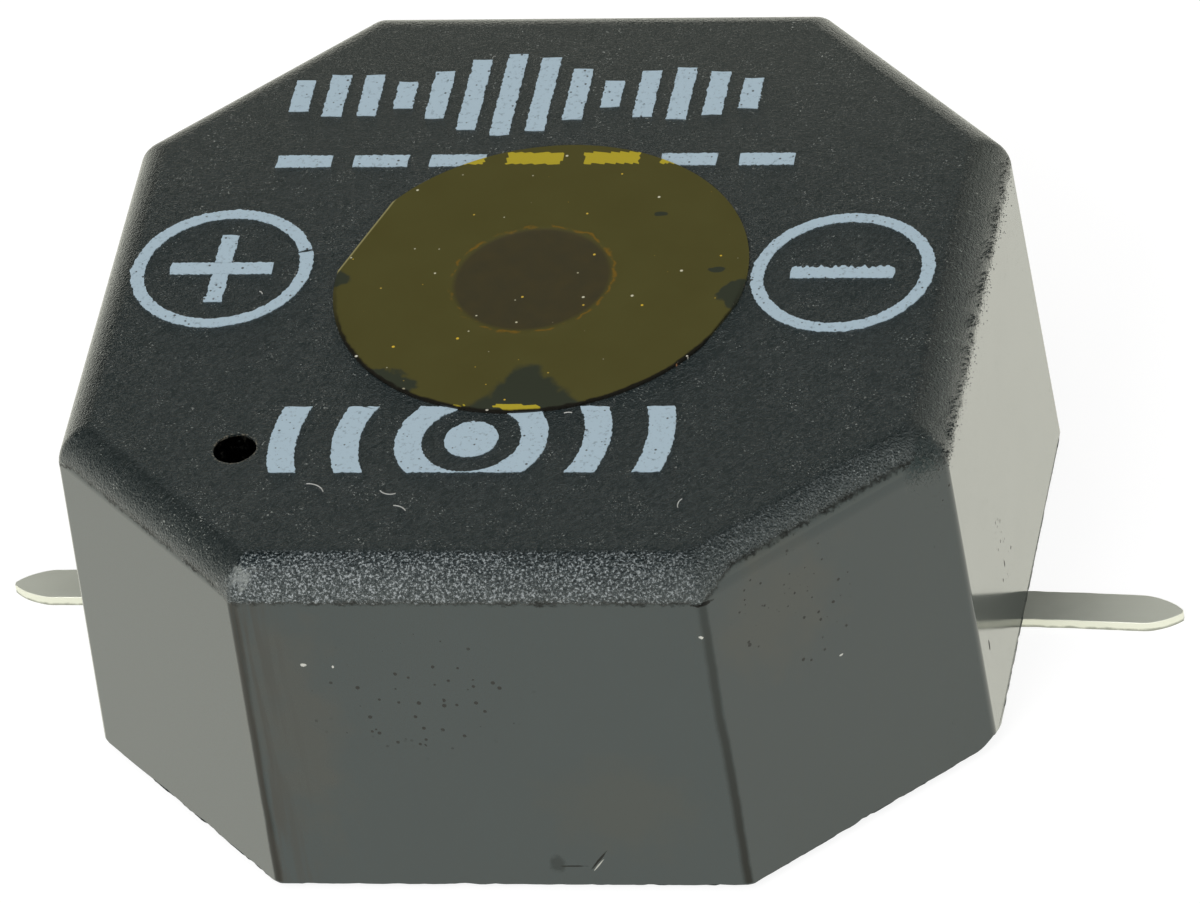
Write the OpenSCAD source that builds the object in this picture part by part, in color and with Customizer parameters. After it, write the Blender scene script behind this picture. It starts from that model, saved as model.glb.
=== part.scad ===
// Eight-sided piezo buzzer with its own driver, potted at the back and sealed by a film
// over the sound hole. Two flat terminals leave under the open rim, to be soldered down.
// Millimetres. The origin is on the seating plane under the terminals, at the middle of
// the body. +X points at the minus terminal, +Y to the back and +Z out of the sound hole.

/* [Housing] */
// Width across the four long flats, at the open rim
body_w = 21; // [20.5:0.25:24]
// Length that a corner flat takes off each side, at the rim
corner_cut = 5; // [4:0.25:6]
// Height from the rim to the top face
body_h = 9.1; // [8.9:0.1:12]
// Draft of the outer faces and of the board pocket, in degrees
draft = 1.5; // [0.5:0.25:2.5]
// Radius of the moulded edge round the top face
top_round = 0.9; // [0.4:0.1:1.1]
// Thickness of the wall round the board pocket
wall = 1.1; // [0.9:0.05:1.3]
// Thickness of the top wall
top_wall = 1.2; // [1:0.1:1.4]
// Diameter of the sound hole
hole_d = 3.7; // [3:0.1:4.5]
// Diameter of the vent that leads to the back chamber
vent_d = 1; // [0.8:0.1:1.1]
// Direction of the vent from the middle, in degrees
vent_angle = 225; // [180:5:270]
// Wall between the vent and the diaphragm's pocket
vent_web = 0.25; // [0.2:0.05:0.4]
// Room between the vent and the wall of the back chamber
vent_room = 0.12; // [0.1:0.01:0.2]

/* [Sound element] */
// Thickness of the brass diaphragm
disc_t = 0.2; // [0.1:0.05:0.3]
// Room round the diaphragm in its pocket
disc_fit = 0.15; // [0.1:0.05:0.2]
// Width of the ledge that the diaphragm sits on
seat_w = 0.9; // [0.6:0.1:1.2]
// Depth of the front chamber, above the diaphragm
front_h = 0.9; // [0.6:0.1:1.2]
// Depth of the diaphragm's pocket below its ledge
disc_pocket_h = 1; // [0.9:0.1:1.2]
// Width of the glue bead behind the diaphragm's edge
bead_w = 0.6; // [0.4:0.1:0.8]
// Height of the glue bead on the pocket's wall
bead_h = 0.6; // [0.4:0.1:0.7]
// Bare brass between the ceramic and the diaphragm's edge
brass_margin = 2.5; // [2:0.1:3]
// Thickness of the piezo ceramic
ceramic_t = 0.2; // [0.1:0.05:0.3]
// Thickness of the silver on the ceramic
silver_t = 0.03; // [0.02:0.01:0.05]
// Bare rim of ceramic round the silver
silver_margin = 0.3; // [0.2:0.1:0.5]
// Width of the feedback electrode
tongue_w = 1.8; // [1.5:0.1:2.2]
// Length of the feedback electrode, in from the edge of the silver
tongue_l = 2.4; // [2:0.1:2.8]
// Bare line between the two electrodes
tongue_gap = 0.35; // [0.2:0.05:0.5]
// Direction of the feedback electrode from the middle, in degrees
tongue_angle = -40; // [-50:5:-30]

/* [Board and potting] */
// Thickness of the circuit board
board_t = 0.8; // [0.6:0.1:1.2]
// Width of the ledge that the board sits on, at the long flats
board_ledge = 0.325; // [0.2:0.025:0.5]
// Room between the board and the pocket's wall
board_fit = 0.15; // [0.1:0.05:0.25]
// Thickness of the copper
copper_t = 0.035; // [0.02:0.005:0.07]
// Width of the tracks
track_w = 0.5; // [0.3:0.1:0.6]
// Depth of the potting under the board
potting_h = 1.85; // [1.4:0.05:2.1]
// How far the potting stays inside the rim
potting_recess = 0.2; // [0.1:0.05:0.4]

/* [Terminals] */
// Width of a terminal
terminal_w = 1; // [0.8:0.05:1.2]
// Thickness of a terminal
terminal_t = 0.25; // [0.2:0.05:0.35]
// Radius inside a terminal's bend
bend_r = 0.3; // [0.2:0.05:0.6]
// How far in from the body's side a terminal turns up
leg_inset = 3; // [2.6:0.1:3.3]
// Length of a terminal's tail above the board
tail_h = 0.6; // [0.5:0.05:0.8]
// Reach of the plus terminal past the rim
plus_out = 3.15; // [2:0.05:5]
// Reach of the minus terminal past the rim
minus_out = 3.7; // [2:0.05:5]
// Place of the plus terminal along the side
plus_y = 0; // [-0.4:0.05:0.4]
// Place of the minus terminal along the side
minus_y = -0.75; // [-0.85:0.05:-0.45]
// Length of a terminal's pointed tip
tip_l = 1.05; // [0.5:0.05:1.2]
// Width left at the very tip
tip_w = 0.1; // [0.1:0.02:0.3]
// Room round a terminal in the board
slot_fit = 0.1; // [0.05:0.05:0.15]
// Width of the copper and solder round a terminal
ring_w = 0.5; // [0.35:0.05:0.6]

/* [Driver parts] */
// Length of the chip resistors and the chip capacitor
chip_l = 2; // [1.8:0.1:2.2]
// Width of the chips
chip_w = 1.25; // [1:0.05:1.4]
// Height of the resistors
resistor_h = 0.5; // [0.4:0.05:0.7]
// Height of the capacitor
capacitor_h = 1.1; // [0.8:0.05:1.4]
// Length of a chip's metal end caps
cap_l = 0.35; // [0.25:0.05:0.45]
// How far a chip's end caps stand proud
cap_proud = 0.03; // [0.01:0.01:0.05]
// Length of the solder in front of an end cap
fillet_l = 0.3; // [0.2:0.05:0.4]
// Length of the transistor's body
transistor_l = 2.9; // [2.7:0.1:3.1]
// Width of the transistor's body
transistor_w = 1.3; // [1.2:0.05:1.4]
// Height of the transistor's body
transistor_h = 0.95; // [0.8:0.05:1.1]
// Distance between the transistor's paired leads
lead_pitch = 1.9; // [1.8:0.05:2]
// Length of the diode's body
diode_l = 2.7; // [2.5:0.1:2.9]
// Width of the diode's body
diode_w = 1.6; // [1.4:0.1:1.8]
// Height of the diode's body
diode_h = 1.1; // [0.9:0.05:1.3]
// How far the leads reach past these two bodies
lead_out = 0.55; // [0.5:0.05:0.6]
// Thickness of the leads
lead_t = 0.12; // [0.1:0.01:0.15]
// Width of the leads
lead_w = 0.45; // [0.35:0.05:0.6]
// Gap under the bodies that stand on leads
standoff = 0.08; // [0.05:0.01:0.12]
// Room between rows of parts on the board
row_room = 0.3; // [0.2:0.05:0.5]

/* [Wires] */
// Diameter of the insulated wires
wire_d = 0.5; // [0.4:0.05:0.6]
// Height over which a wire straightens at each end
wire_slack = 1.2; // [0.8:0.1:1.6]
// Height of a wire's solder joint
joint_h = 0.4; // [0.3:0.05:0.5]
// Width of solder round the foot of a joint
joint_skirt = 0.28; // [0.2:0.02:0.32]

/* [Seal and print] */
// Diameter of the sealing film
film_d = 9.6; // [7:0.1:10]
// Thickness of the film with its glue
film_t = 0.07; // [0.05:0.01:0.12]
// Place of the film to the right of the middle
film_x = 0.19; // [-0.3:0.01:0.3]
// Place of the film behind the middle
film_y = 0.08; // [-0.3:0.01:0.3]
// Depth trimmed off the film at its left
film_trim_left = 0.18; // [0:0.02:0.4]
// Depth trimmed off the film at its right
film_trim_right = 0.07; // [0:0.01:0.3]
// Thickness of the ink
ink_t = 0.02; // [0.01:0.005:0.03]
// Outer diameter of the rings round the two polarity marks
ring_d = 4.24; // [3.6:0.02:4.4]
// Line width of the rings
ring_line = 0.3; // [0.2:0.02:0.5]
// Distance from the body's side to the plus ring, at the top
plus_ring_edge = 0.77; // [0.7:0.01:1.2]
// Distance from the body's side to the minus ring, at the top
minus_ring_edge = 0.96; // [0.7:0.01:1.2]
// Length of the plus and minus strokes
stroke_l = 2.4; // [1.6:0.05:2.6]
// Line width of the plus and minus strokes
stroke_w = 0.4; // [0.3:0.02:0.5]
// Height of the tallest bar in the sound pattern at the back
wave_h = 3; // [2:0.1:3.4]
// Width of a bar in that pattern
wave_w = 0.46; // [0.3:0.02:0.6]
// Distance from bar to bar
wave_pitch = 0.82; // [0.7:0.01:0.85]
// Line width of the arcs at the front
arc_w = 0.62; // [0.4:0.02:0.8]
// Height of the arcs at the front
arc_h = 2.3; // [1.8:0.1:2.6]
// Distance from arc to arc
arc_pitch = 1.45; // [1.2:0.05:1.5]
// Distance from the back edge of the flat top to the middle of the sound pattern
wave_edge = 2.53; // [2:0.05:3]
// Distance from the film's back edge in to the dashes
dash_under = 0.48; // [0.2:0.02:0.8]
// Distance from the film's front edge to the middle of the arcs
arc_ahead = 0.9; // [0.7:0.05:1.2]

/* [Hidden] */
$fn = 64;
// Overshoot of a cutting shape past the face that it cuts
eps = 0.5;

// Heights, from the seating plane up
rim_z = terminal_t;
potting_z = rim_z + potting_recess;
board_z = potting_z + potting_h;
board_top = board_z + board_t;
copper_top = board_top + copper_t;
top_z = rim_z + body_h;
front_top = top_z - top_wall;
seat_z = front_top - front_h;
disc_back = seat_z - disc_t;
ceramic_back = disc_back - ceramic_t;
silver_back = ceramic_back - silver_t;
chamber_top = seat_z - disc_pocket_h;

// Half widths at the rim, over the long flats and over the corner flats
flat_half = body_w / 2;
corner_half = (body_w - corner_cut) / sqrt(2);

// Radii inside the housing: the board's ledge gives the back chamber, the vent runs just
// inside it, and the diaphragm takes what is left
chamber_r = half_at(flat_half - wall, board_top) - board_ledge;
vent_orbit = chamber_r - vent_room - vent_d / 2;
pocket_r = vent_orbit - vent_d / 2 - vent_web;
disc_r = pocket_r - disc_fit;
front_r = disc_r - seat_w;
ceramic_r = disc_r - brass_margin;
silver_r = ceramic_r - silver_margin;
bead_inner_r = pocket_r - bead_w;

// Terminals and their copper
leg_x = flat_half - leg_inset;
slot_w = terminal_w + 2 * slot_fit;
slot_t = terminal_t + 2 * slot_fit;
ring_r = slot_w / 2 + ring_w;

// Land under a chip's end, under a lead and under a wire
chip_land = [cap_l + fillet_l + 0.25, chip_w + 0.1];
chip_land_x = chip_l / 2 + fillet_l + 0.1 - chip_land[0] / 2;
lead_land = [lead_w + 0.35, 0.8];
lead_land_out = lead_out - 0.1;
wire_r = wire_d / 2;
joint_tip_r = wire_r + 0.04;
joint_r = wire_r + joint_skirt;
wire_land_r = joint_r + 0.1;
foot_l = 0.3;
lead_root = 0.25;

// Middle of each terminal's leg, on the board
plus_leg = [-leg_x - terminal_t / 2, plus_y];
minus_leg = [leg_x + terminal_t / 2, minus_y];

// Along the board the diode, the transistor and the ground rail share the room between
// the two terminals' copper evenly
diode_span = diode_l + 2 * lead_out;
share = (minus_leg[0] - plus_leg[0] - 2 * ring_r - diode_span - transistor_l - track_w) / 4;
diode_at = [plus_leg[0] + ring_r + share + diode_span / 2, plus_y];
supply_x = diode_at[0] + diode_l / 2 + lead_land_out;
transistor_at = [
    diode_at[0] + diode_span / 2 + share + transistor_l / 2,
    minus_y + transistor_w / 2 + lead_land_out
];
ground_x = transistor_at[0] + transistor_l / 2 + share + track_w / 2;
collector_at = transistor_at + [0, transistor_w / 2 + lead_land_out];
base_at = transistor_at - [lead_pitch / 2, transistor_w / 2 + lead_land_out];
emitter_at = transistor_at + [lead_pitch / 2, -transistor_w / 2 - lead_land_out];

// Rows of chips and wire pads, from the transistor's leads outwards
row_step = chip_land[1] + row_room;
load_at = [supply_x + chip_land_x, collector_at[1] + lead_land[1] / 2 + row_step];
capacitor_at = load_at + [0, row_step];
bias_at = [(supply_x + base_at[0]) / 2, base_at[1] - (lead_land[1] + chip_land[1]) / 2 - row_room];
feedback_at = [base_at[0] + chip_land_x, bias_at[1] - row_step];
main_pad = [(collector_at[0] + ground_x) / 2, load_at[1]];
ground_pad = [ground_x, (minus_y + load_at[1]) / 2];
feedback_pad =
    feedback_at + [chip_land_x + chip_land[0] / 2 + row_room + wire_land_r, 0];

// Joints on the sound element
main_joint = polar(silver_r - 0.6 * tongue_l, 47);
feedback_joint = polar(silver_r - tongue_l / 2, tongue_angle);
ground_joint = polar((ceramic_r + bead_inner_r) / 2, 40);

wire_rings = 14;
wire_sides = 8;

// Places of the print
top_half = half_at(flat_half, top_z);
flat_top_half = top_half - top_round;
plus_ring_at = [-(top_half - plus_ring_edge - ring_d / 2), 0.5];
minus_ring_at = [top_half - minus_ring_edge - ring_d / 2, 0.27];
wave_bars = 14;
wave_at = [-1.25, flat_top_half - wave_edge];
dash_l = 1.3;
dash_w = 0.42;
dash_pitch = 1.82;
dashes = 7;
dash_at = [-0.65, film_y + film_d / 2 - dash_under];
arcs = 3;
arc_at = [-0.5, film_y - film_d / 2 - arc_ahead];

function polar(r, a) = [r * cos(a), r * sin(a)];
function unit(v) = v / norm(v);
// Half width of a drafted face pair at a height, from its half width at the rim
function half_at(half, z) = half - (z - rim_z) * tan(draft);
// Height of a bar of the sound pattern, which swells and fades twice
function bar_h(i) =
    let (s = (i + 0.5) / wave_bars)
    wave_h * (0.3 + 0.7 * sin(180 * s) * abs(cos(430 * s - 20)));

// Section across two opposite drafted faces, with its top corners rounded if asked
module drafted_section(half, low, high, round) {
    arc_z = high - round;
    arc_x = half_at(half, arc_z) - round / cos(draft);
    touch = [arc_x + round * cos(draft), arc_z + round * sin(draft)];
    if (round > 0) {
        polygon([
            [-half_at(half, low), low], [half_at(half, low), low],
            touch, [arc_x, high], [-arc_x, high], [-touch[0], touch[1]]
        ]);
        for (side = [-1, 1]) translate([side * arc_x, arc_z]) circle(r = round);
    } else {
        polygon([
            [-half_at(half, low), low], [half_at(half, low), low],
            [half_at(half, high), high], [-half_at(half, high), high]
        ]);
    }
}

// Eight-sided block between two heights, set in from the outer faces
module drafted_block(inset, low, high, round = 0) {
    intersection_for (turn = [0:45:135])
        rotate([0, 0, turn])
            rotate([90, 0, 0])
                linear_extrude(2 * body_w, center = true)
                    drafted_section(
                        (turn % 90 == 0 ? flat_half : corner_half) - inset, low, high, round);
}

// Moulded cup: outer faces, sound hole, front chamber, diaphragm seat, back chamber,
// board pocket and vent
module housing() color("#3a3f40") difference() {
    drafted_block(0, rim_z, top_z, top_round);
    translate([0, 0, front_top - eps]) cylinder(d = hole_d, h = top_wall + 2 * eps);
    translate([0, 0, seat_z - eps]) cylinder(r = front_r, h = front_h + eps);
    translate([0, 0, chamber_top - eps]) cylinder(r = pocket_r, h = disc_pocket_h + eps);
    translate([0, 0, board_top - eps]) cylinder(r = chamber_r, h = chamber_top - board_top + eps);
    drafted_block(wall, rim_z - eps, board_top);
    rotate([0, 0, vent_angle]) translate([vent_orbit, 0, chamber_top - eps])
        cylinder(d = vent_d, h = top_z - chamber_top + 2 * eps);
}

// Ring with a plus or a minus in it
module polarity_mark(is_plus) {
    difference() {
        circle(d = ring_d);
        circle(d = ring_d - 2 * ring_line);
    }
    square([stroke_l, stroke_w], center = true);
    if (is_plus) square([stroke_w, stroke_l], center = true);
}

// Outline of all the ink on the top face
module print_outline() {
    translate(plus_ring_at) polarity_mark(true);
    translate(minus_ring_at) polarity_mark(false);
    for (i = [0:wave_bars - 1])
        translate(wave_at + [(i - (wave_bars - 1) / 2) * wave_pitch, 0])
            square([wave_w, bar_h(i)], center = true);
    for (i = [0:dashes - 1])
        translate(dash_at + [(i - (dashes - 1) / 2) * dash_pitch, 0])
            square([dash_l, dash_w], center = true);
    translate(arc_at) {
        circle(r = arc_w);
        for (i = [1:arcs], side = [-1, 1]) intersection() {
            difference() {
                circle(r = i * arc_pitch + arc_w / 2);
                circle(r = i * arc_pitch - arc_w / 2);
            }
            translate([side * i * arc_pitch, 0]) square([3.6 * arc_w, arc_h], center = true);
        }
    }
}

module printed_marks() color("#afbecd")
    translate([0, 0, top_z]) linear_extrude(ink_t) print_outline();

// Amber film over the sound hole, trimmed at two edges, with the ink sunk in its glue
module sealing_film() color("#4b4626") difference() {
    translate([film_x, film_y, top_z]) linear_extrude(film_t) difference() {
        circle(d = film_d);
        rotate(161) translate([film_d / 2 - film_trim_left, -film_d / 2]) square(film_d);
        rotate(-21) translate([film_d / 2 - film_trim_right, -film_d / 2]) square(film_d);
    }
    translate([0, 0, top_z - eps]) linear_extrude(ink_t + eps) print_outline();
}

module diaphragm() color("#c8a850")
    translate([0, 0, disc_back]) cylinder(r = disc_r, h = disc_t);

// Bead of silicone in the corner behind the diaphragm
module diaphragm_glue() color("#d8d8d0") rotate_extrude()
    polygon([
        [bead_inner_r, disc_back], [pocket_r, disc_back],
        [pocket_r, disc_back - bead_h], [pocket_r - 0.15, disc_back - bead_h]
    ]);

module piezo_ceramic() color("#d9cfae")
    translate([0, 0, ceramic_back]) cylinder(r = ceramic_r, h = ceramic_t);

// Outline of the feedback electrode, grown by a margin for the bare line round it
module tongue(margin) rotate(tongue_angle) {
    translate([silver_r - tongue_l + tongue_w / 2, 0]) {
        circle(d = tongue_w + 2 * margin);
        translate([0, -tongue_w / 2 - margin]) square([tongue_l, tongue_w + 2 * margin]);
    }
}

module main_electrode() color("#c4c4c0")
    translate([0, 0, silver_back]) linear_extrude(silver_t) difference() {
        circle(r = silver_r);
        tongue(tongue_gap);
    }

module feedback_electrode() color("#c4c4c0")
    translate([0, 0, silver_back]) linear_extrude(silver_t) intersection() {
        circle(r = silver_r);
        tongue(0);
    }

// Side outline of a terminal: a foot on the seating plane that bends up into a leg at x = 0
module terminal_side(reach) {
    outer_r = bend_r + terminal_t;
    translate([outer_r, 0]) square([reach - outer_r, terminal_t]);
    translate([0, outer_r]) square([terminal_t, board_top + tail_h - outer_r]);
    translate([outer_r, outer_r]) intersection() {
        difference() {
            circle(r = outer_r);
            circle(r = bend_r);
        }
        translate([-outer_r, -outer_r]) square(outer_r);
    }
}

// Plan of a terminal: straight sides that curve in to a point
module terminal_plan(reach) {
    half = terminal_w / 2;
    drop = half - tip_w / 2;
    tip_r = (tip_l * tip_l + drop * drop) / (2 * drop);
    translate([-eps, -half]) square([reach - tip_l + eps, terminal_w]);
    translate([reach - tip_l, 0]) intersection() {
        translate([0, -half]) square([tip_l, terminal_w]);
        translate([0, half - tip_r]) circle(r = tip_r);
        translate([0, tip_r - half]) circle(r = tip_r);
    }
}

// Strip with its leg at the origin and its foot along +X
module terminal(reach) intersection() {
    rotate([90, 0, 0]) linear_extrude(2 * terminal_w, center = true) terminal_side(reach);
    translate([0, 0, -eps]) linear_extrude(board_top + tail_h + 2 * eps) terminal_plan(reach);
}

module plus_terminal() color("#979b91")
    translate([-leg_x, plus_y, 0]) mirror([1, 0, 0]) terminal(leg_inset + plus_out);

module minus_terminal() color("#979b91")
    translate([leg_x, minus_y, 0]) terminal(leg_inset + minus_out);

// Cone of solder round a tail
module tail_solder(leg) translate([leg[0], leg[1], copper_top])
    cylinder(r1 = ring_r - 0.1, r2 = terminal_w / 2 + 0.12, h = tail_h - copper_t - 0.1);

module plus_terminal_solder() color("#b8b8b4") difference() {
    tail_solder(plus_leg);
    plus_terminal();
}

module minus_terminal_solder() color("#b8b8b4") difference() {
    tail_solder(minus_leg);
    minus_terminal();
}

module leg_slots() for (leg = [plus_leg, minus_leg])
    translate(leg) square([slot_t, slot_w], center = true);

module circuit_board() color("#3f6b45") difference() {
    half = half_at(flat_half - wall, board_top) - board_fit;
    corner = half_at(corner_half - wall, board_top) - board_fit;
    translate([0, 0, board_z]) linear_extrude(board_t) difference() {
        intersection() {
            square(2 * half, center = true);
            rotate(45) square(2 * corner, center = true);
        }
        leg_slots();
    }
}

// Straight track between two points that lie along X or Y of each other
module track(a, b) {
    low = [min(a[0], b[0]), min(a[1], b[1])];
    high = [max(a[0], b[0]), max(a[1], b[1])];
    translate(low - [track_w, track_w] / 2) square(high - low + [track_w, track_w]);
}

module chip_lands(at) for (side = [-1, 1])
    translate(at + [side * chip_land_x, 0]) square(chip_land, center = true);

module copper_tracks() color("#b87840")
    translate([0, 0, board_top]) linear_extrude(copper_t) difference() {
        union() {
            for (leg = [plus_leg, minus_leg]) translate(leg) circle(r = ring_r);
            for (pad = [main_pad, feedback_pad, ground_pad])
                translate(pad) circle(r = wire_land_r);
            for (at = [load_at, bias_at, feedback_at, capacitor_at]) chip_lands(at);
            for (side = [-1, 1])
                translate(diode_at + [side * (diode_l / 2 + lead_land_out), 0])
                    square([lead_land[1], lead_land[0]], center = true);
            for (at = [collector_at, base_at, emitter_at])
                translate(at) square(lead_land, center = true);
            // From the plus terminal, through the diode, to the supply rail
            track(plus_leg, diode_at - [diode_l / 2 + lead_land_out, 0]);
            track([supply_x, bias_at[1]], [supply_x, capacitor_at[1]]);
            // Collector, with the load resistor and the wire to the main electrode
            track(load_at + [chip_land_x, 0], main_pad);
            track([collector_at[0], main_pad[1]], collector_at);
            // Base, with the bias and feedback resistors
            track(base_at, [base_at[0], feedback_at[1]]);
            track(feedback_at + [chip_land_x, 0], feedback_pad);
            // Ground rail, from the emitter and the minus terminal to the capacitor
            track(emitter_at, minus_leg);
            track([ground_x, minus_y], [ground_x, capacitor_at[1]]);
            track(capacitor_at + [chip_land_x, 0], [ground_x, capacitor_at[1]]);
        }
        leg_slots();
    }

// Chip part on its lands: a body and two end caps
module chip(at, h) translate([at[0], at[1], copper_top]) {
    translate([0, 0, cap_proud + h / 2])
        cube([chip_l - 2 * cap_proud, chip_w, h], center = true);
    for (side = [-1, 1]) translate([side * (chip_l - cap_l) / 2, 0, h / 2 + cap_proud])
        cube([cap_l, chip_w + 2 * cap_proud, h + 2 * cap_proud], center = true);
}

module load_resistor() color("#2c2c2e") chip(load_at, resistor_h);
module bias_resistor() color("#2c2c2e") chip(bias_at, resistor_h);
module feedback_resistor() color("#2c2c2e") chip(feedback_at, resistor_h);
module supply_capacitor() color("#a08a68") chip(capacitor_at, capacitor_h);

// Wedge of solder in front of each end cap
module chip_solder() color("#b8b8b4")
    for (at = [load_at, bias_at, feedback_at, capacitor_at], side = [0, 1])
        translate([at[0], at[1], copper_top]) mirror([side, 0, 0])
            translate([chip_l / 2, 0, 0]) rotate([90, 0, 0])
                linear_extrude(chip_w, center = true)
                    polygon([[0, 0], [fillet_l, 0], [0, resistor_h * 0.7]]);

// Gull-wing lead along +X, from inside a body of the given half length down to its foot
module lead(half) {
    rise = standoff + 0.3;
    knee = half + 0.06;
    ankle = half + lead_out - foot_l;
    tip = half + lead_out;
    rotate([90, 0, 0]) linear_extrude(lead_w, center = true) polygon([
        [half - lead_root, rise], [knee, rise], [ankle, 0], [tip, 0], [tip, lead_t],
        [ankle + lead_t / 2, lead_t], [knee + lead_t / 2, rise + lead_t],
        [half - lead_root, rise + lead_t]
    ]);
}

module transistor_leads() color("#b0b0ac")
    translate([transistor_at[0], transistor_at[1], copper_top]) {
        rotate(90) lead(transistor_w / 2);
        for (side = [-1, 1]) translate([side * lead_pitch / 2, 0, 0])
            rotate(-90) lead(transistor_w / 2);
    }

module driver_transistor() color("#242426") difference() {
    translate([transistor_at[0], transistor_at[1], copper_top + standoff + transistor_h / 2])
        cube([transistor_l, transistor_w, transistor_h], center = true);
    transistor_leads();
}

module diode_leads() color("#b0b0ac") translate([diode_at[0], diode_at[1], copper_top])
    for (turn = [0, 180]) rotate(turn) lead(diode_l / 2);

module protection_diode() color("#242426") difference() {
    translate([diode_at[0], diode_at[1], copper_top + standoff + diode_h / 2])
        cube([diode_l, diode_w, diode_h], center = true);
    diode_leads();
}

// Joints on the board widen downwards, and those on the sound element widen upwards
module board_joints() color("#b8b8b4")
    for (pad = [main_pad, feedback_pad, ground_pad]) translate([pad[0], pad[1], copper_top])
        cylinder(r1 = joint_r, r2 = joint_tip_r, h = joint_h);

module disc_joint(at, z) translate([at[0], at[1], z - joint_h])
    cylinder(r1 = joint_tip_r, r2 = joint_r, h = joint_h);

module disc_joints() color("#b8b8b4") {
    disc_joint(main_joint, silver_back);
    disc_joint(feedback_joint, silver_back);
    disc_joint(ground_joint, disc_back);
}

// A wire rises straight from its joint on the board and meets the other joint straight
function wire_point(a, b, s) =
    let (lift = [0, 0, wire_slack], r = 1 - s)
    r * r * r * a + 3 * r * r * s * (a + lift) + 3 * r * s * s * (b - lift) + s * s * s * b;
function wire_slope(a, b, s) =
    let (lift = [0, 0, wire_slack], r = 1 - s)
    r * r * lift + 2 * r * s * (b - a - 2 * lift) + s * s * lift;

module wire(pad, joint, z) {
    a = [pad[0], pad[1], copper_top + joint_h];
    b = [joint[0], joint[1], z - joint_h];
    across = unit([a[1] - b[1], b[0] - a[0], 0]);
    points = [
        for (i = [0:wire_rings])
            let (s = i / wire_rings, out = cross(across, unit(wire_slope(a, b, s))))
            for (k = [0:wire_sides - 1])
                let (turn = 360 * k / wire_sides)
                wire_point(a, b, s) + wire_r * (cos(turn) * across + sin(turn) * out)
    ];
    walls = [
        for (i = [0:wire_rings - 1], k = [0:wire_sides - 1])
            let (m = (k + 1) % wire_sides, low = i * wire_sides, high = low + wire_sides)
            for (face = [[low + k, high + m, low + m], [low + k, high + k, high + m]]) face
    ];
    last = wire_rings * wire_sides;
    polyhedron(points, concat(walls, [
        [for (k = [0:wire_sides - 1]) k],
        [for (k = [wire_sides - 1:-1:0]) last + k]
    ]));
}

module main_wire() color("#a83228") wire(main_pad, main_joint, silver_back);
module feedback_wire() color("#2c4c8c") wire(feedback_pad, feedback_joint, silver_back);
module ground_wire() color("#222222") wire(ground_pad, ground_joint, disc_back);

// Resin that fills the pocket under the board, round both legs
module potting() color("#26282a") difference() {
    drafted_block(wall, potting_z, board_z);
    plus_terminal();
    minus_terminal();
}

housing();
sealing_film();
printed_marks();
diaphragm();
diaphragm_glue();
piezo_ceramic();
main_electrode();
feedback_electrode();
circuit_board();
copper_tracks();
plus_terminal();
minus_terminal();
plus_terminal_solder();
minus_terminal_solder();
driver_transistor();
transistor_leads();
load_resistor();
bias_resistor();
feedback_resistor();
supply_capacitor();
protection_diode();
diode_leads();
chip_solder();
main_wire();
feedback_wire();
ground_wire();
disc_joints();
board_joints();
potting();
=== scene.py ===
import math
import random

import bmesh
import bpy
from mathutils import Matrix, Vector, noise


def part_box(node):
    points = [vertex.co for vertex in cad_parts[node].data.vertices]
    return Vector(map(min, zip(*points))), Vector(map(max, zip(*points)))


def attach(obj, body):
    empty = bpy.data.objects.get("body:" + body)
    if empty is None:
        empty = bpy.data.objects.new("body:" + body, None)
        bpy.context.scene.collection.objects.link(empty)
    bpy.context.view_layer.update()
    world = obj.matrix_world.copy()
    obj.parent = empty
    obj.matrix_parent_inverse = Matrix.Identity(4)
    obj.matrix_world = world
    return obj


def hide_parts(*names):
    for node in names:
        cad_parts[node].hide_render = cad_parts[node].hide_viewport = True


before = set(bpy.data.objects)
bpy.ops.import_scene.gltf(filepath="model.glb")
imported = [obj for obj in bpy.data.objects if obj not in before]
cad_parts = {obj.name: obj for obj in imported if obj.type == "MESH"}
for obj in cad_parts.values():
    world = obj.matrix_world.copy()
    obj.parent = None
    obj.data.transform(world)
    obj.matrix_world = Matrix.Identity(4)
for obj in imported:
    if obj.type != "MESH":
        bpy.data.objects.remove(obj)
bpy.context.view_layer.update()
mm = 0.001

# Camera. A long lens in front of the part and a little to its right looks down on the
# printed top, and the part lies slightly turned in the picture.
seating_gap = 0.25 * mm
camera_azimuth = math.radians(15.188)
camera_elevation = math.radians(39.081)
camera_roll = math.radians(-9.799)
camera_offset = Vector((0.342, 3.071, 334.30)) * mm
camera_turn = (
    Matrix.Rotation(camera_azimuth, 4, "Z")
    @ Matrix.Rotation(math.pi / 2 - camera_elevation, 4, "X")
    @ Matrix.Rotation(camera_roll, 4, "Z")
)
camera = bpy.data.objects.new("camera", bpy.data.cameras.new("camera"))
camera.data.lens = 431.3
camera.data.sensor_width = 36.0
camera.data.clip_start = 0.01
camera.matrix_world = (
    Matrix.Translation((0, 0, seating_gap)) @ camera_turn @ Matrix.Translation(camera_offset))
bpy.context.scene.collection.objects.link(camera)
bpy.context.scene.camera = camera
bpy.context.scene.view_settings.view_transform = "Standard"


# Studio. The part stands on a plain white sweep with white card in front and overhead. The
# back of the room is dark above the sweep's edge, and the cards are a little warmer than
# the sweep looks to the camera.
def fill(tree, node, inputs):
    """Links a shader node's inputs to other sockets, or sets them to plain values."""
    for socket, value in inputs.items():
        if isinstance(value, bpy.types.NodeSocket):
            tree.links.new(value, node.inputs[socket])
        else:
            node.inputs[socket].default_value = value
    return node


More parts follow.
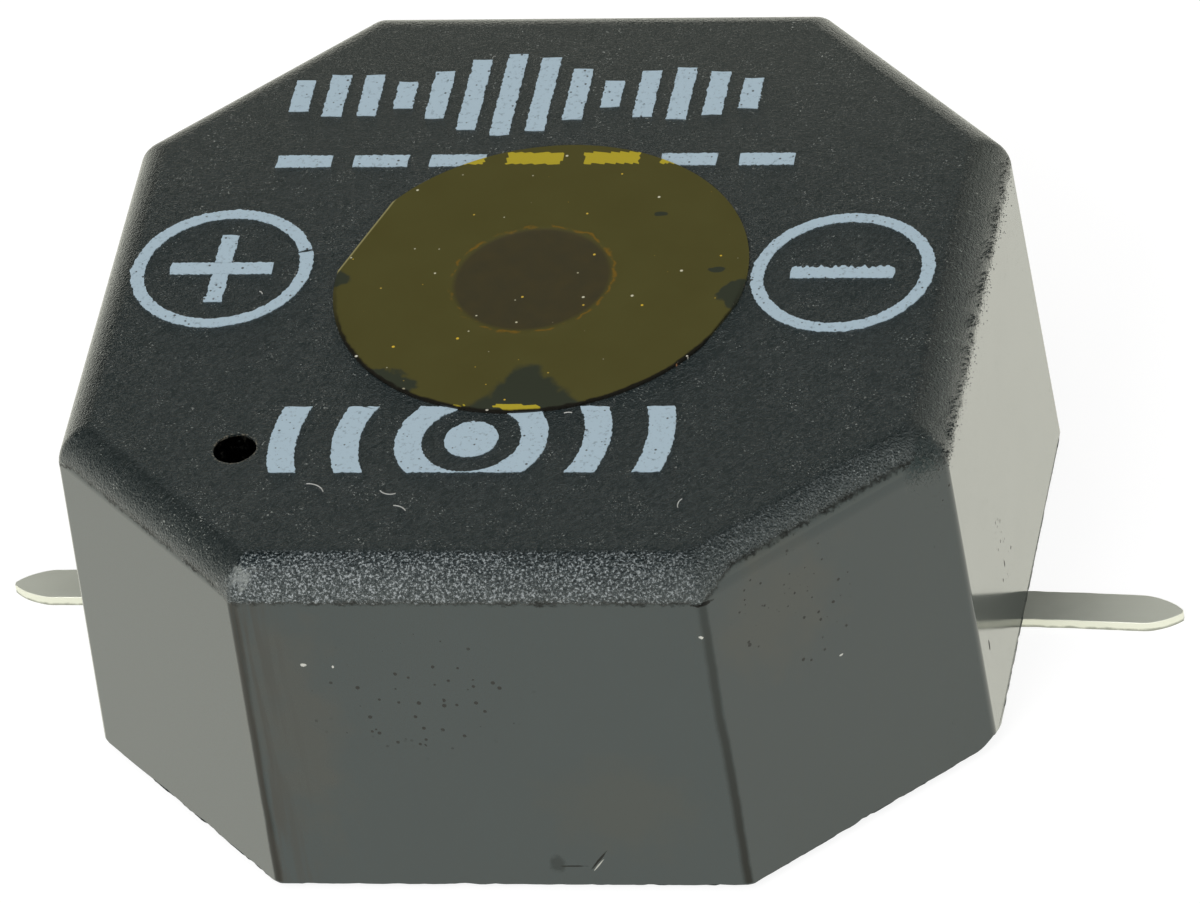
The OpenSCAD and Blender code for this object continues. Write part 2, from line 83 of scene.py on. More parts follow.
def add(tree, kind, inputs=None, **settings):
    """Adds a shader node, sets its settings, and fills its inputs."""
    new = tree.nodes.new("ShaderNode" + kind)
    for key, value in settings.items():
        setattr(new, key, value)
    return fill(tree, new, inputs or {})


def calc(tree, operation, *values, **settings):
    """Works out one sum with a math node, and returns the socket of its result."""
    return add(tree, "Math", dict(enumerate(values)), operation=operation, **settings).outputs[0]


def ramp(tree, value, start, end, low=0.0, high=1.0, smooth=False):
    """Goes from low to high as the value goes from start to end, and returns the result's socket."""
    return add(tree, "MapRange", {
        "Value": value, "From Min": start, "From Max": end, "To Min": low, "To Max": high},
        interpolation_type="SMOOTHSTEP" if smooth else "LINEAR").outputs["Result"]


def times(tree, *values):
    """Multiplies values one after another, and returns the result's socket."""
    product = values[0]
    for value in values[1:]:
        product = calc(tree, "MULTIPLY", product, value)
    return product


card_low = (1.66, 1.66, 1.44, 1)
card_high = (0.95, 0.95, 0.86, 1)
room_dark = (0.11, 0.105, 0.085, 1)
floor_card = (1.38, 1.38, 1.20, 1)
world = bpy.data.worlds.new("studio_room")
bpy.context.scene.world = world
world.use_nodes = True
tree = world.node_tree
tree.nodes.clear()
rays = add(tree, "LightPath")
way = add(tree, "TexCoord").outputs["Generated"]
aim = add(tree, "SeparateXYZ", {"Vector": way})
# The overhead card ends along two slanting lines, and reaches lower on the left
dark = 0.0
for line, start, end, low, high in (
    ((0.75, 1, 0), 0.25, 0.60, 0.02, 0.36), ((-1.2, 1, 0), 0.66, 0.98, -0.04, 0.18),
):
    past = add(tree, "VectorMath", {0: way, 1: line}, operation="DOT_PRODUCT").outputs["Value"]
    past = ramp(tree, past, start, end, smooth=True)
    above = ramp(tree, aim.outputs["Z"], low, high, smooth=True)
    past = calc(tree, "MULTIPLY", past, above)
    dark = calc(tree, "MAXIMUM", dark, past)
card = add(tree, "MixRGB", {"Fac": aim.outputs["Z"], "Color1": card_low, "Color2": card_high})
card = add(tree, "MixRGB", {
    "Fac": rays.outputs["Is Glossy Ray"], "Color1": (1, 1, 1, 1), "Color2": card.outputs[0]})
shade = add(tree, "MixRGB", {"Fac": dark, "Color1": card.outputs[0], "Color2": room_dark})
room = add(tree, "Background", {"Color": shade.outputs[0], "Strength": 1.0})
backdrop = add(tree, "Background", {"Color": (1, 1, 1, 1), "Strength": 1.0})
seen = add(tree, "MixShader", {
    "Fac": rays.outputs["Is Camera Ray"], 1: room.outputs[0], 2: backdrop.outputs[0]})
add(tree, "OutputWorld", {"Surface": seen.outputs[0]})

floor_size = 6.0
floor_glow = 0.72
bm = bmesh.new()
bmesh.ops.create_grid(bm, x_segments=1, y_segments=1, size=floor_size / 2)
floor_mesh = bpy.data.meshes.new("floor")
bm.to_mesh(floor_mesh)
bm.free()
floor = bpy.data.objects.new("floor", floor_mesh)
bpy.context.scene.collection.objects.link(floor)
floor_paint = bpy.data.materials.new("white_sweep")
floor_paint.use_nodes = True
tree = floor_paint.node_tree
tree.nodes.clear()
rays = add(tree, "LightPath")
straight = calc(tree, "MAXIMUM", rays.outputs["Is Camera Ray"], rays.outputs["Is Glossy Ray"])
straight = calc(tree, "MAXIMUM", straight, rays.outputs["Is Transmission Ray"])
glow = calc(tree, "MULTIPLY", straight, floor_glow)
paper = add(tree, "BsdfDiffuse", {"Color": (0.8, 0.8, 0.8, 1)})
card = add(tree, "MixRGB", {
    "Fac": rays.outputs["Is Glossy Ray"], "Color1": (1, 1, 1, 1), "Color2": floor_card})
light = add(tree, "Emission", {"Color": card.outputs[0], "Strength": 1.22})
sweep = add(tree, "MixShader", {"Fac": glow, 1: paper.outputs[0], 2: light.outputs[0]})
add(tree, "OutputMaterial", {"Surface": sweep.outputs[0]})
floor_mesh.materials.append(floor_paint)

softbox_from = Vector((-0.20, -0.66, 0.72))
softbox_distance = 1.0
softbox_width = 0.26
softbox = bpy.data.objects.new("softbox", bpy.data.lights.new("softbox", "AREA"))
softbox.data.shape = "SQUARE"
softbox.data.size = softbox_width
softbox.data.energy = 1.9
softbox.location = softbox_from.normalized() * softbox_distance
softbox.rotation_euler = softbox_from.to_track_quat("Z", "Y").to_euler()
softbox.visible_camera = False
bpy.context.scene.collection.objects.link(softbox)

# Housing. One black moulding with eight drafted sides and a rounded edge, grained on top by
# an eroded tool and polished along the draw. Inside are the sound hole, the chambers, the
# seat and pocket of the diaphragm, the vent and the board's pocket.
body_low, body_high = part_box("housing")
body_half, rim_z, top_z = body_high.x, body_low.z, body_high.z
corner_cut = 5.0 * mm
draft = math.radians(1.5)
top_round = 0.9 * mm
edge_round = 0.28 * mm
wall = 1.1 * mm
hole_r = 1.85 * mm
vent_r = 0.5 * mm
disc_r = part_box("diaphragm")[1].x
pocket_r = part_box("diaphragm_glue")[1].x
seat_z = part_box("diaphragm")[1].z
board_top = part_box("circuit_board")[1].z
front_r = disc_r - 0.9 * mm
vent_orbit = pocket_r + 0.25 * mm + vent_r
chamber_r = vent_orbit + vent_r + 0.12 * mm
front_top = top_z - 1.2 * mm
chamber_top = seat_z - 1.0 * mm
over = 0.5 * mm


def eight_sided(bm, inset, z):
    """Adds the eight-sided face that lies inset from the outer sides at that height."""
    narrower = inset + (z - rim_z) * math.tan(draft)
    bmesh.ops.create_grid(
        bm, x_segments=1, y_segments=1, size=body_half - narrower, matrix=Matrix.Translation((0, 0, z)))
    corner_half = (2 * body_half - corner_cut) / math.sqrt(2) - narrower
    for quarter in range(4):
        out = Matrix.Rotation(math.radians(45 + 90 * quarter), 3, "Z") @ Vector((1, 0, 0))
        verts = [v for v in bm.verts if abs(v.co.z - z) < 1e-7]
        edges = {e for v in verts for e in v.link_edges}
        faces = {f for v in verts for f in v.link_faces}
        bmesh.ops.bisect_plane(
            bm, geom=verts + list(edges) + list(faces), dist=1e-9,
            plane_co=out * corner_half, plane_no=out, clear_outer=True)


def drafted_block(inset, low, high):
    """Eight-sided block with drafted sides, as a new bmesh."""
    bm = bmesh.new()
    eight_sided(bm, inset, low)
    eight_sided(bm, inset, high)
    bmesh.ops.bridge_loops(bm, edges=bm.edges[:])
    bmesh.ops.recalc_face_normals(bm, faces=bm.faces[:])
    return bm


def swept(points, steps, angle=math.tau, merge=True):
    """Surface that a line of points makes as it turns about the z axis, as a new bmesh."""
    bm = bmesh.new()
    verts = [bm.verts.new(point) for point in points]
    for a, b in zip(verts, verts[1:]):
        bm.edges.new((a, b))
    bmesh.ops.spin(
        bm, geom=bm.verts[:] + bm.edges[:], axis=(0, 0, 1), cent=(0, 0, 0), angle=angle, steps=steps,
        use_merge=merge)
    bmesh.ops.remove_doubles(bm, verts=bm.verts[:], dist=1e-7)
    return bm


def finish_piece(name, bm, paint, slot, *nodes, sharp=30):
    """Makes the bmesh a piece of the part that stands for the named nodes."""
    for edge in bm.edges:
        edge.smooth = len(edge.link_faces) == 2 and edge.calc_face_angle() < math.radians(sharp)
    for face in bm.faces:
        face.smooth = True
    mesh = bpy.data.meshes.new(name)
    bm.to_mesh(mesh)
    bm.free()
    mesh.materials.append(paint)
    new = bpy.data.objects.new(name, mesh)
    bpy.context.scene.collection.objects.link(new)
    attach(new, "root")
    if nodes:
        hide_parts(*nodes)
    return new


def cut_out(bm, cutters):
    """Takes the cutters out of a solid and returns what is left as a new bmesh."""
    objects = []
    for solid in [bm, *cutters]:
        mesh = bpy.data.meshes.new("cutting")
        solid.to_mesh(mesh)
        solid.free()
        objects.append(bpy.data.objects.new("cutting", mesh))
        bpy.context.scene.collection.objects.link(objects[-1])
    for cutter in objects[1:]:
        cut = objects[0].modifiers.new("cut", "BOOLEAN")
        cut.object = cutter
        cut.operation = "DIFFERENCE"
        cut.solver = "EXACT"
    bpy.context.view_layer.update()
    shape = objects[0].evaluated_get(bpy.context.evaluated_depsgraph_get()).to_mesh()
    left = bmesh.new()
    left.from_mesh(shape)
    for used in objects:
        bpy.data.objects.remove(used)
    return left


body = drafted_block(0, rim_z, top_z)
top_edges = [e for e in body.edges if all(abs(v.co.z - top_z) < 1e-7 for v in e.verts)]
bmesh.ops.bevel(
    body, geom=top_edges, offset=top_round * math.tan((math.pi / 2 - draft) / 2), segments=10,
    profile=0.5, affect="EDGES", material=-1, clamp_overlap=False)
body.normal_update()
corners = []
for edge in body.edges:
    sides = [f.normal.xy for f in edge.link_faces if f.normal.xy.length > 0.04]
    if len(sides) == 2 and sides[0].angle(sides[1]) > math.radians(20):
        corners.append(edge)
bmesh.ops.bevel(
    body, geom=corners, offset=edge_round * math.tan(math.radians(22.5)), segments=4,
    profile=0.5, affect="EDGES", material=-1, clamp_overlap=False)
chambers = swept([(r, 0, z) for r, z in (
    (0, top_z + over), (hole_r, top_z + over), (hole_r, front_top), (front_r, front_top),
    (front_r, seat_z), (pocket_r, seat_z), (pocket_r, chamber_top), (chamber_r, chamber_top),
    (chamber_r, board_top - over), (0, board_top - over))], 96)
bmesh.ops.recalc_face_normals(chambers, faces=chambers.faces[:])
board_pocket = drafted_block(wall, rim_z - over, board_top)
vent = bmesh.new()
vent_at = Vector((-1, -1, 0)).normalized() * vent_orbit
bmesh.ops.create_cone(
    vent, cap_ends=True, segments=72, radius1=vent_r, radius2=vent_r,
    depth=top_z - chamber_top + 2 * over,
    matrix=Matrix.Translation(vent_at + Vector((0, 0, (top_z + chamber_top) / 2))))
for v in vent.verts:
    v.co.xy += (noise.noise_vector(v.co / (0.3 * mm)) * 0.03 * mm).xy
    v.co.xy += (noise.noise_vector(v.co / (0.09 * mm)) * 0.022 * mm).xy
body = cut_out(body, [chambers, board_pocket, vent])

rim_step = 0.12 * mm
rim_wear = 0.028 * mm
worn_corner = Vector((body_half, corner_cut - body_half, rim_z))
outside = []
for edge in body.edges:
    ends = [(abs(v.co.x), abs(v.co.y)) for v in edge.verts if v.co.z < rim_z + 1e-6]
    out_by = [max(x, y, (x + y) / math.sqrt(2) - 0.8 * mm) for x, y in ends]
    if len(out_by) == 2 and min(out_by) > body_half - 0.1 * mm:
        outside.append(edge)
for edge in outside:
    if edge.calc_length() > 4 * rim_step:
        bmesh.ops.subdivide_edges(body, edges=[edge], cuts=round(edge.calc_length() / rim_step))
for v in body.verts:
    if v.co.z < rim_z + 1e-6 and v.co.xy.length > body_half - 0.05 * mm:
        chipped = 0.16 * mm * math.exp(-(((v.co - worn_corner).length / (0.35 * mm)) ** 2))
        nick = noise.noise(v.co / (0.5 * mm)) + 0.7 * noise.noise(v.co / (0.16 * mm))
        v.co.xy *= 1 - (rim_wear * abs(nick) + 0.2 * chipped) / body_half
        v.co.z += rim_wear * max(0, nick) + chipped

# On the right the eroded grain stands proud below the rounded edge, and thins out down the side
round_z = top_z - top_round
round_x = body_half - ((round_z - rim_z) * math.sin(draft) + top_round) / math.cos(draft)
grain_from, grain_full, grain_to = 0.80 * mm, 1.30 * mm, 2.3 * mm
grain_r = 0.019 * mm
scatter = random.Random(5)
for grain in range(3600):
    along = scatter.uniform(grain_from, grain_to)
    turn = min(math.pi / 2, along / top_round)
    z = round_z + top_round * math.cos(turn) - max(0, along - top_round * math.pi / 2)
    x = round_x + top_round * math.sin(turn)
    if z < round_z:
        x = body_half - (z - rim_z) * math.tan(draft)
    side_half = body_half - corner_cut - (math.sqrt(2) - 1) * (body_half - x) - 2 * grain_r
    y = scatter.uniform(-side_half, side_half)
    thins = min(
        (along - grain_from) / (grain_full - grain_from), (grain_to - along) / (grain_to - grain_full))
    if scatter.random() > 0.8 * thins ** 2 or noise.noise(Vector((0, y, along)) / (0.4 * mm)) < -0.1:
        continue
    spin = Matrix.Rotation(scatter.uniform(0, math.tau), 4, (scatter.random(), scatter.random(), 0.5))
    shape = Matrix.Diagonal((
        scatter.uniform(0.5, 1.4), scatter.uniform(0.5, 1), scatter.uniform(0.5, 1), 1))
    bmesh.ops.create_icosphere(
        body, subdivisions=1, radius=grain_r,
        matrix=Matrix.Translation((x - 0.3 * grain_r, y, z)) @ spin @ shape)


def new_group(name, inputs, outputs):
    """Starts a shader node group, and returns its tree, its input node and its output node."""
    tree = bpy.data.node_groups.new(name, "ShaderNodeTree")
    for kind, label, value in inputs:
        socket = tree.interface.new_socket(label, in_out="INPUT", socket_type="NodeSocket" + kind)
        socket.default_value = value
    for kind, label in outputs:
        tree.interface.new_socket(label, in_out="OUTPUT", socket_type="NodeSocket" + kind)
    return tree, tree.nodes.new("NodeGroupInput"), tree.nodes.new("NodeGroupOutput")


def use_group(tree, group, inputs):
    """Places a shader node group in a tree."""
    new = tree.nodes.new("ShaderNodeGroup")
    new.node_tree = group
    return fill(tree, new, inputs)


# Scattered round spots: one in each cell of a grid, of which only a share shows
spots, given, made = new_group(
    "scattered_spots",
    [("Vector", "Place", (0, 0, 0)), ("Float", "Cell", 0.0005), ("Float", "Size", 0.2),
     ("Float", "Share", 0.3), ("Float", "Softness", 0.1)],
    [("Float", "Mask"), ("Float", "Tone")])
scale = calc(spots, "DIVIDE", 1.0, given.outputs["Cell"])
cells = add(spots, "TexVoronoi", {"Vector": given.outputs["Place"], "Scale": scale})
tone = add(spots, "SeparateColor", {"Color": cells.outputs["Color"]})
smaller = calc(spots, "MULTIPLY", given.outputs["Size"], tone.outputs["Green"])
inner = calc(spots, "SUBTRACT", smaller, given.outputs["Softness"])
spot = ramp(spots, cells.outputs["Distance"], inner, smaller, 1.0, 0.0)
chosen = calc(spots, "LESS_THAN", tone.outputs["Red"], given.outputs["Share"])
spot = calc(spots, "MULTIPLY", spot, chosen)
spots.links.new(spot, made.inputs["Mask"])
spots.links.new(tone.outputs["Blue"], made.inputs["Tone"])

# One blot with a ragged outline round a given point
blot, given, made = new_group(
    "ragged_blot",
    [("Vector", "Place", (0, 0, 0)), ("Vector", "Centre", (0, 0, 0)), ("Vector", "Reach", (1, 1, 1)),
     ("Float", "Ragged", 0.2), ("Float", "Cell", 0.0005), ("Float", "Softness", 0.1)],
    [("Float", "Mask")])
away = add(
    blot, "VectorMath", {0: given.outputs["Place"], 1: given.outputs["Centre"]}, operation="SUBTRACT")
away = add(blot, "VectorMath", {0: away.outputs[0], 1: given.outputs["Reach"]}, operation="DIVIDE")
away = add(blot, "VectorMath", {0: away.outputs[0]}, operation="LENGTH")
scale = calc(blot, "DIVIDE", 1.0, given.outputs["Cell"])
wander = add(blot, "TexNoise", {"Vector": given.outputs["Place"], "Scale": scale, "Detail": 3.0})
wander = calc(blot, "SUBTRACT", wander.outputs["Fac"], 0.5)
wander = calc(blot, "MULTIPLY", wander, given.outputs["Ragged"])
away = calc(blot, "ADD", away.outputs["Value"], wander)
edge = calc(blot, "SUBTRACT", 1.0, given.outputs["Softness"])
inside = ramp(blot, away, edge, 1.0, 1.0, 0.0, smooth=True)
blot.links.new(inside, made.inputs["Mask"])


def new_paint(name):
    """Starts a material, and returns it with its tree, its shader and object coordinates."""
    paint = bpy.data.materials.new(name)
    paint.use_nodes = True
    tree = paint.node_tree
    place = add(tree, "TexCoord").outputs["Object"]
    return paint, tree, tree.nodes["Principled BSDF"], place


def soft_noise(tree, place, cell, detail=2.0, roughness=0.5, distortion=0.0):
    """Returns the socket of a noise whose largest clouds are about one cell wide."""
    return add(tree, "TexNoise", {
        "Vector": place, "Scale": 1 / cell, "Detail": detail, "Roughness": roughness,
        "Distortion": distortion}).outputs["Fac"]


def ragged_spot(tree, place, centre, reach, ragged, cell, softness):
    """Returns the mask of one ragged blot, whose centre and reach are in millimetres."""
    return use_group(tree, blot, {
        "Place": place, "Centre": Vector(centre) * mm, "Reach": Vector(reach) * mm,
        "Ragged": ragged, "Cell": cell, "Softness": softness}).outputs["Mask"]


def mix_colour(tree, mask, low, high):
    """Goes from the low colour to the high one as the mask goes from 0 to 1."""
    new = add(tree, "Mix", {"Factor": mask, "A": low, "B": high}, data_type="RGBA")
    for label, value in (("A", low), ("B", high)):
        socket = [s for s in new.inputs if s.name == label and s.type == "RGBA"][0]
        if isinstance(value, bpy.types.NodeSocket):
            tree.links.new(value, socket)
        else:
            socket.default_value = value
    return [s for s in new.outputs if s.type == "RGBA"][0]


grain_depth = 0.90 * mm
grain_cell = 0.05 * mm
top_low, top_high = (0.002, 0.011, 0.014, 1), (0.029, 0.039, 0.042, 1)
speck_grey = (0.36, 0.38, 0.36, 1)
moulding, tree, shader, place = new_paint("grained_black_moulding")
at_x, at_y, at_z = add(tree, "SeparateXYZ", {"Vector": place}).outputs
# The grain ends below the rounded edge along a ragged line
fine = soft_noise(tree, place, 0.11 * mm, 4.0, roughness=0.65)
ragged_by = ramp(tree, at_x, 9.3 * mm, 10.1 * mm, 0.34 * mm, 1.3 * mm)
edge = calc(tree, "SUBTRACT", fine, 0.5)
edge = calc(tree, "MULTIPLY_ADD", edge, ragged_by, at_z)
# It ends higher up on the chamfers beside the front
span = add(tree, "VectorMath", {0: place}, operation="ABSOLUTE")
span = add(tree, "SeparateXYZ", {"Vector": span.outputs[0]})
mitre_slope = math.tan(math.radians(22.5))
mitre_at = body_half - corner_cut - mitre_slope * body_half
higher = calc(tree, "LESS_THAN", at_y, 0.0)
for along, across, fade in (("X", "Y", 0.9 * mm), ("Y", "X", 0.5 * mm)):
    past = calc(tree, "MULTIPLY_ADD", span.outputs[across], -mitre_slope, span.outputs[along])
    higher = times(tree, higher, ramp(tree, past, mitre_at, mitre_at + fade))
raised = ramp(tree, at_x, -mm, mm, -0.18 * mm, -0.46 * mm)
edge = calc(tree, "MULTIPLY_ADD", higher, raised, edge)
grain_low = top_z - grain_depth
grained = ramp(tree, edge, grain_low, grain_low + 0.04 * mm)
# A painted shade line runs along the grain's lower end
line_in = ramp(tree, edge, grain_low - 0.07 * mm, grain_low)
line_out = ramp(tree, edge, grain_low, grain_low + 0.12 * mm, 1.0, 0.0)
patchy = ramp(tree, soft_noise(tree, place, 0.45 * mm, 3.0), 0.4, 0.6, 0.2)
grain_end_shade = times(tree, line_in, line_out, patchy)
pebbles = add(tree, "TexVoronoi", {"Vector": place, "Scale": 1 / grain_cell})
grain = calc(tree, "MULTIPLY_ADD", fine, 1.8, pebbles.outputs["Distance"])
# The rounded edge keeps a coarser grain than the top on the right, and carries painted glints along the
# front
edge_from = calc(tree, "MULTIPLY_ADD", fine, 0.012 * mm, at_z)
on_edge = ramp(tree, edge_from, top_z + 0.003 * mm, top_z - 0.012 * mm)
mitre = calc(tree, "MULTIPLY_ADD", at_y, mitre_slope, span.outputs["X"])
mitre = calc(tree, "MULTIPLY_ADD", fine, 0.12 * mm, mitre)
front_only = ramp(tree, mitre, mitre_at + 0.08 * mm, mitre_at + 0.02 * mm)
frontward = add(tree, "VectorMath", {0: place, 1: (0.28, -0.96, 0)}, operation="DOT_PRODUCT")
frontward = ramp(tree, frontward.outputs["Value"], 7.9 * mm, 8.25 * mm)
front_line = top_round + (top_z - rim_z) * math.tan(draft) - body_half
at_front = ramp(tree, at_y, front_line + 0.03 * mm, front_line - 0.05 * mm)
fading = ramp(tree, at_x, 3.6 * mm, 5.3 * mm, 1.0, 0.6)
at_front = times(tree, at_front, front_only, fading)
beyond = ramp(tree, at_x, 5.4 * mm, 7.2 * mm, 0.42, 0.22)
glint_band = calc(tree, "MAXIMUM", times(tree, frontward, beyond), at_front)
glint_band = times(tree, glint_band, on_edge, grained)
to_right = times(tree, ramp(tree, at_x, -mm, mm), on_edge)
coarse = calc(tree, "MULTIPLY_ADD", glint_band, 0.3, 0.46)
coarse = calc(tree, "MULTIPLY_ADD", to_right, 0.35, coarse)
grain = times(tree, grain, coarse, grained)
# Painted glints and painted dark specks lie on the front of the rounded edge, and pale specks in clusters
# on the top
crystals = soft_noise(tree, place, 0.062 * mm, 2.0, roughness=0.8, distortion=0.3)
painted_glints = times(tree, ramp(tree, crystals, 0.53, 0.64), glint_band)
painted_dark_specks = times(tree, ramp(tree, crystals, 0.49, 0.4), glint_band)
cloudy = soft_noise(tree, place, 1.6 * mm, 4.0)
# A painted highlight lies on the rounded edge near the front-left corner
painted_highlight_haze = ragged_spot(tree, place, (-5.12, -10.05, 9.03), (0.4, 0.36, 0.36), 2.6, 0.12 * mm, 0.9)
crumbly = ragged_spot(tree, place, (-6.4, -8.2, 9.1), (1.7, 1.6, 0.4), 1.0, 0.5 * mm, 0.5)
clusters = ramp(tree, soft_noise(tree, place, 0.5 * mm, 3.0), 0.46, 0.66)
clusters = times(tree, calc(tree, "MULTIPLY_ADD", crumbly, 0.8, clusters), grained)
speck = calc(tree, "MULTIPLY", ramp(tree, crystals, 0.62, 0.7), clusters, use_clamp=True)
# Pits and scrapes on the polished sides, and the lines of the draw
drawn = add(tree, "Mapping", {"Vector": place, "Scale": (1, 1, 0.05)})
drawn = soft_noise(tree, drawn.outputs[0], 0.14 * mm, 3.0)
pits = use_group(tree, spots, {
    "Place": place, "Cell": 0.15 * mm, "Size": 0.40, "Share": 0.42, "Softness": 0.08})
pit_fields = (
    ((-1.6, -10.4, 6.0), (2.8, 2.0, 2.0)), ((10.5, -2.1, 2.7), (2.0, 0.9, 1.6)),
    ((7.2, -8.8, 6.9), (1.9, 1.9, 2.0)), ((10.3, -3.2, 7.9), (2.0, 3.4, 0.9)))
pitted = 0.0
for centre, reach in pit_fields:
    field = ragged_spot(tree, place, centre, reach, 1.4, 0.5 * mm, 0.3)
    pitted = calc(tree, "MAXIMUM", pitted, field)
pits = calc(tree, "MULTIPLY", pits.outputs["Mask"], pitted)
scrape_tilt = math.radians(52)
tilted = add(tree, "Mapping", {"Vector": place, "Rotation": (0, scrape_tilt, 0)}).outputs[0]
turn = Matrix.Rotation(scrape_tilt, 3, "Y")
scrapes = []
for spot, centre, reach, soft in (
    (place, (1.10, -10.45, 0.86), (0.23, 2, 0.32), 0.5),
    (place, (1.45, -10.45, 0.80), (0.40, 2, 0.03), 0.5),
    (tilted, turn @ Vector((2.08, -10.45, 0.98)), (0.40, 2, 0.035), 0.4),
    (tilted, turn @ Vector((2.06, -10.45, 0.84)), (0.24, 2, 0.02), 0.4),
):
    scrapes.append(ragged_spot(tree, spot, centre, reach, 0.6, 0.12 * mm, soft))
scrape = calc(tree, "MULTIPLY", scrapes[0], 0.5)
for mask in scrapes[1:3]:
    scrape = calc(tree, "MAXIMUM", scrape, mask)
# Painted shade: a dark line follows each upright corner, and painted shade streaks spread from it on the
# left
beside = calc(tree, "MULTIPLY_ADD", at_z, math.tan(draft) * (math.sqrt(2) - 1), span.outputs["X"])
corner_at = body_half - corner_cut + rim_z * math.tan(draft) * (math.sqrt(2) - 1)
forward = ramp(tree, at_y, -8 * mm, -9 * mm)
off_rim = ramp(tree, at_z, rim_z + 0.03 * mm, rim_z + 0.06 * mm)
on_side = times(tree, calc(tree, "SUBTRACT", 1.0, grained), forward, off_rim)
wavering = calc(tree, "MULTIPLY_ADD", cloudy, 0.16 * mm, beside)
line_in = ramp(tree, wavering, corner_at - 0.13 * mm, corner_at + 0.03 * mm, smooth=True)
line_out = ramp(tree, wavering, corner_at + 0.09 * mm, corner_at + 0.19 * mm, 1.0, 0.0, smooth=True)
low_down = ramp(tree, at_z, top_z, rim_z, 0.45, 0.9)
painted_corner_shade = times(tree, line_in, line_out, low_down, on_side)
smear_in = ramp(tree, beside, corner_at - 1.3 * mm, corner_at - 0.1 * mm)
smear_out = ramp(tree, beside, corner_at, corner_at + 0.1 * mm, 1.0, 0.0)
to_left = ramp(tree, at_x, mm, -mm)
brushed = ramp(tree, drawn, 0.44, 0.62)
painted_shade_streaks = times(tree, smear_in, smear_out, to_left, brushed, on_side)
blue_black = mix_colour(tree, cloudy, (0.003, 0.017, 0.023, 1), (0.012, 0.026, 0.03, 1))
flat_black = mix_colour(tree, drawn, blue_black, (0.01, 0.022, 0.024, 1))
# Pale blooms, pits, scuffs and nicks lie on the polished sides
for centre, reach, tone in (
    ((6.8, -9.0, 7.2), (2.2, 2.2, 2.4), (0.021, 0.027, 0.023, 1)),
    ((-4.4, -10.4, 5.0), (1.4, 1.4, 4.5), (0.020, 0.025, 0.022, 1)),
    ((2.8, -10.4, 2.5), (2.4, 2.4, 1.8), (0.016, 0.024, 0.022, 1)),
):
    bloom = ragged_spot(tree, place, centre, reach, 1.2, 0.7 * mm, 0.8)
    flat_black = mix_colour(tree, bloom, flat_black, tone)
# Over them go the painted shade along the corners, its painted shade streaks, the pits and the scrapes
for mask, tone in (
    (painted_shade_streaks, (0.006, 0.006, 0.004, 1)), (painted_corner_shade, (0.006, 0.005, 0.003, 1)), (pits, (0.003, 0.003, 0.003, 1)),
    (scrape, (0.006, 0.006, 0.005, 1)), (scrapes[3], (0.45, 0.45, 0.40, 1)),
):
    flat_black = mix_colour(tree, mask, flat_black, tone)
# The top is paler towards the back
paler_to_back = ramp(tree, at_y, 1.0 * mm, 9.3 * mm)
bare, black = (0.55, 0.55, 0.50, 1), (0.001, 0.001, 0.001, 1)
dashed = 0.0
for centre, reach, tone in (
    ((-3.97, -10.3, 6.69), (0.09, 1, 0.05), bare), ((-3.29, -10.3, 6.64), (0.03, 1, 0.04), bare),
    ((5.26, -10.3, 7.50), (0.06, 1, 0.05), bare), ((7.8, -8.0, 5.0), (1, 0.04, 0.03), bare),
    ((10.4, -1.95, 2.54), (1, 0.05, 0.13), black), ((10.4, -2.33, 2.36), (1, 0.05, 0.05), black),
    ((10.4, -4.65, 2.4), (1, 0.07, 0.16), black), ((10.4, -1.11, 2.30), (1, 0.05, 0.05), black),
    ((5.38, -10.3, 8.43), (0.28, 1, 0.07), black),
):
    nick = ragged_spot(tree, place, centre, reach, 0.8, 0.05 * mm, 0.3)
    flat_black = mix_colour(tree, nick, flat_black, tone)
    if tone == black:
        dashed = calc(tree, "MAXIMUM", dashed, nick)
# The top is mottled in slanting strokes
strokes = add(tree, "Mapping", {
    "Vector": place, "Rotation": (0, 0, math.radians(48)), "Scale": (2.2, 1, 1)}, vector_type="TEXTURE")
strokes = soft_noise(tree, strokes.outputs[0], 0.075 * mm, 3.0, roughness=0.6, distortion=0.8)
mottled = ramp(tree, strokes, 0.32, 0.68)
crust = mix_colour(tree, mottled, top_low, top_high)
# Into the top's colour go the paler back, the pale specks, and the painted glints, painted dark specks and
# painted highlight of the rounded edge
for mask, tone in (
    (paler_to_back, (0.038, 0.046, 0.044, 1)), (speck, speck_grey), (glint_band, (0.01, 0.023, 0.029, 1)),
    (painted_glints, (0.31, 0.34, 0.355, 1)), (painted_dark_specks, (0.002, 0.008, 0.013, 1)), (painted_highlight_haze, (0.19, 0.21, 0.21, 1)),
):
    crust = mix_colour(tree, mask, crust, tone)
moulded = mix_colour(tree, grained, flat_black, crust)
moulded = mix_colour(tree, grain_end_shade, moulded, (0.004, 0.005, 0.005, 1))
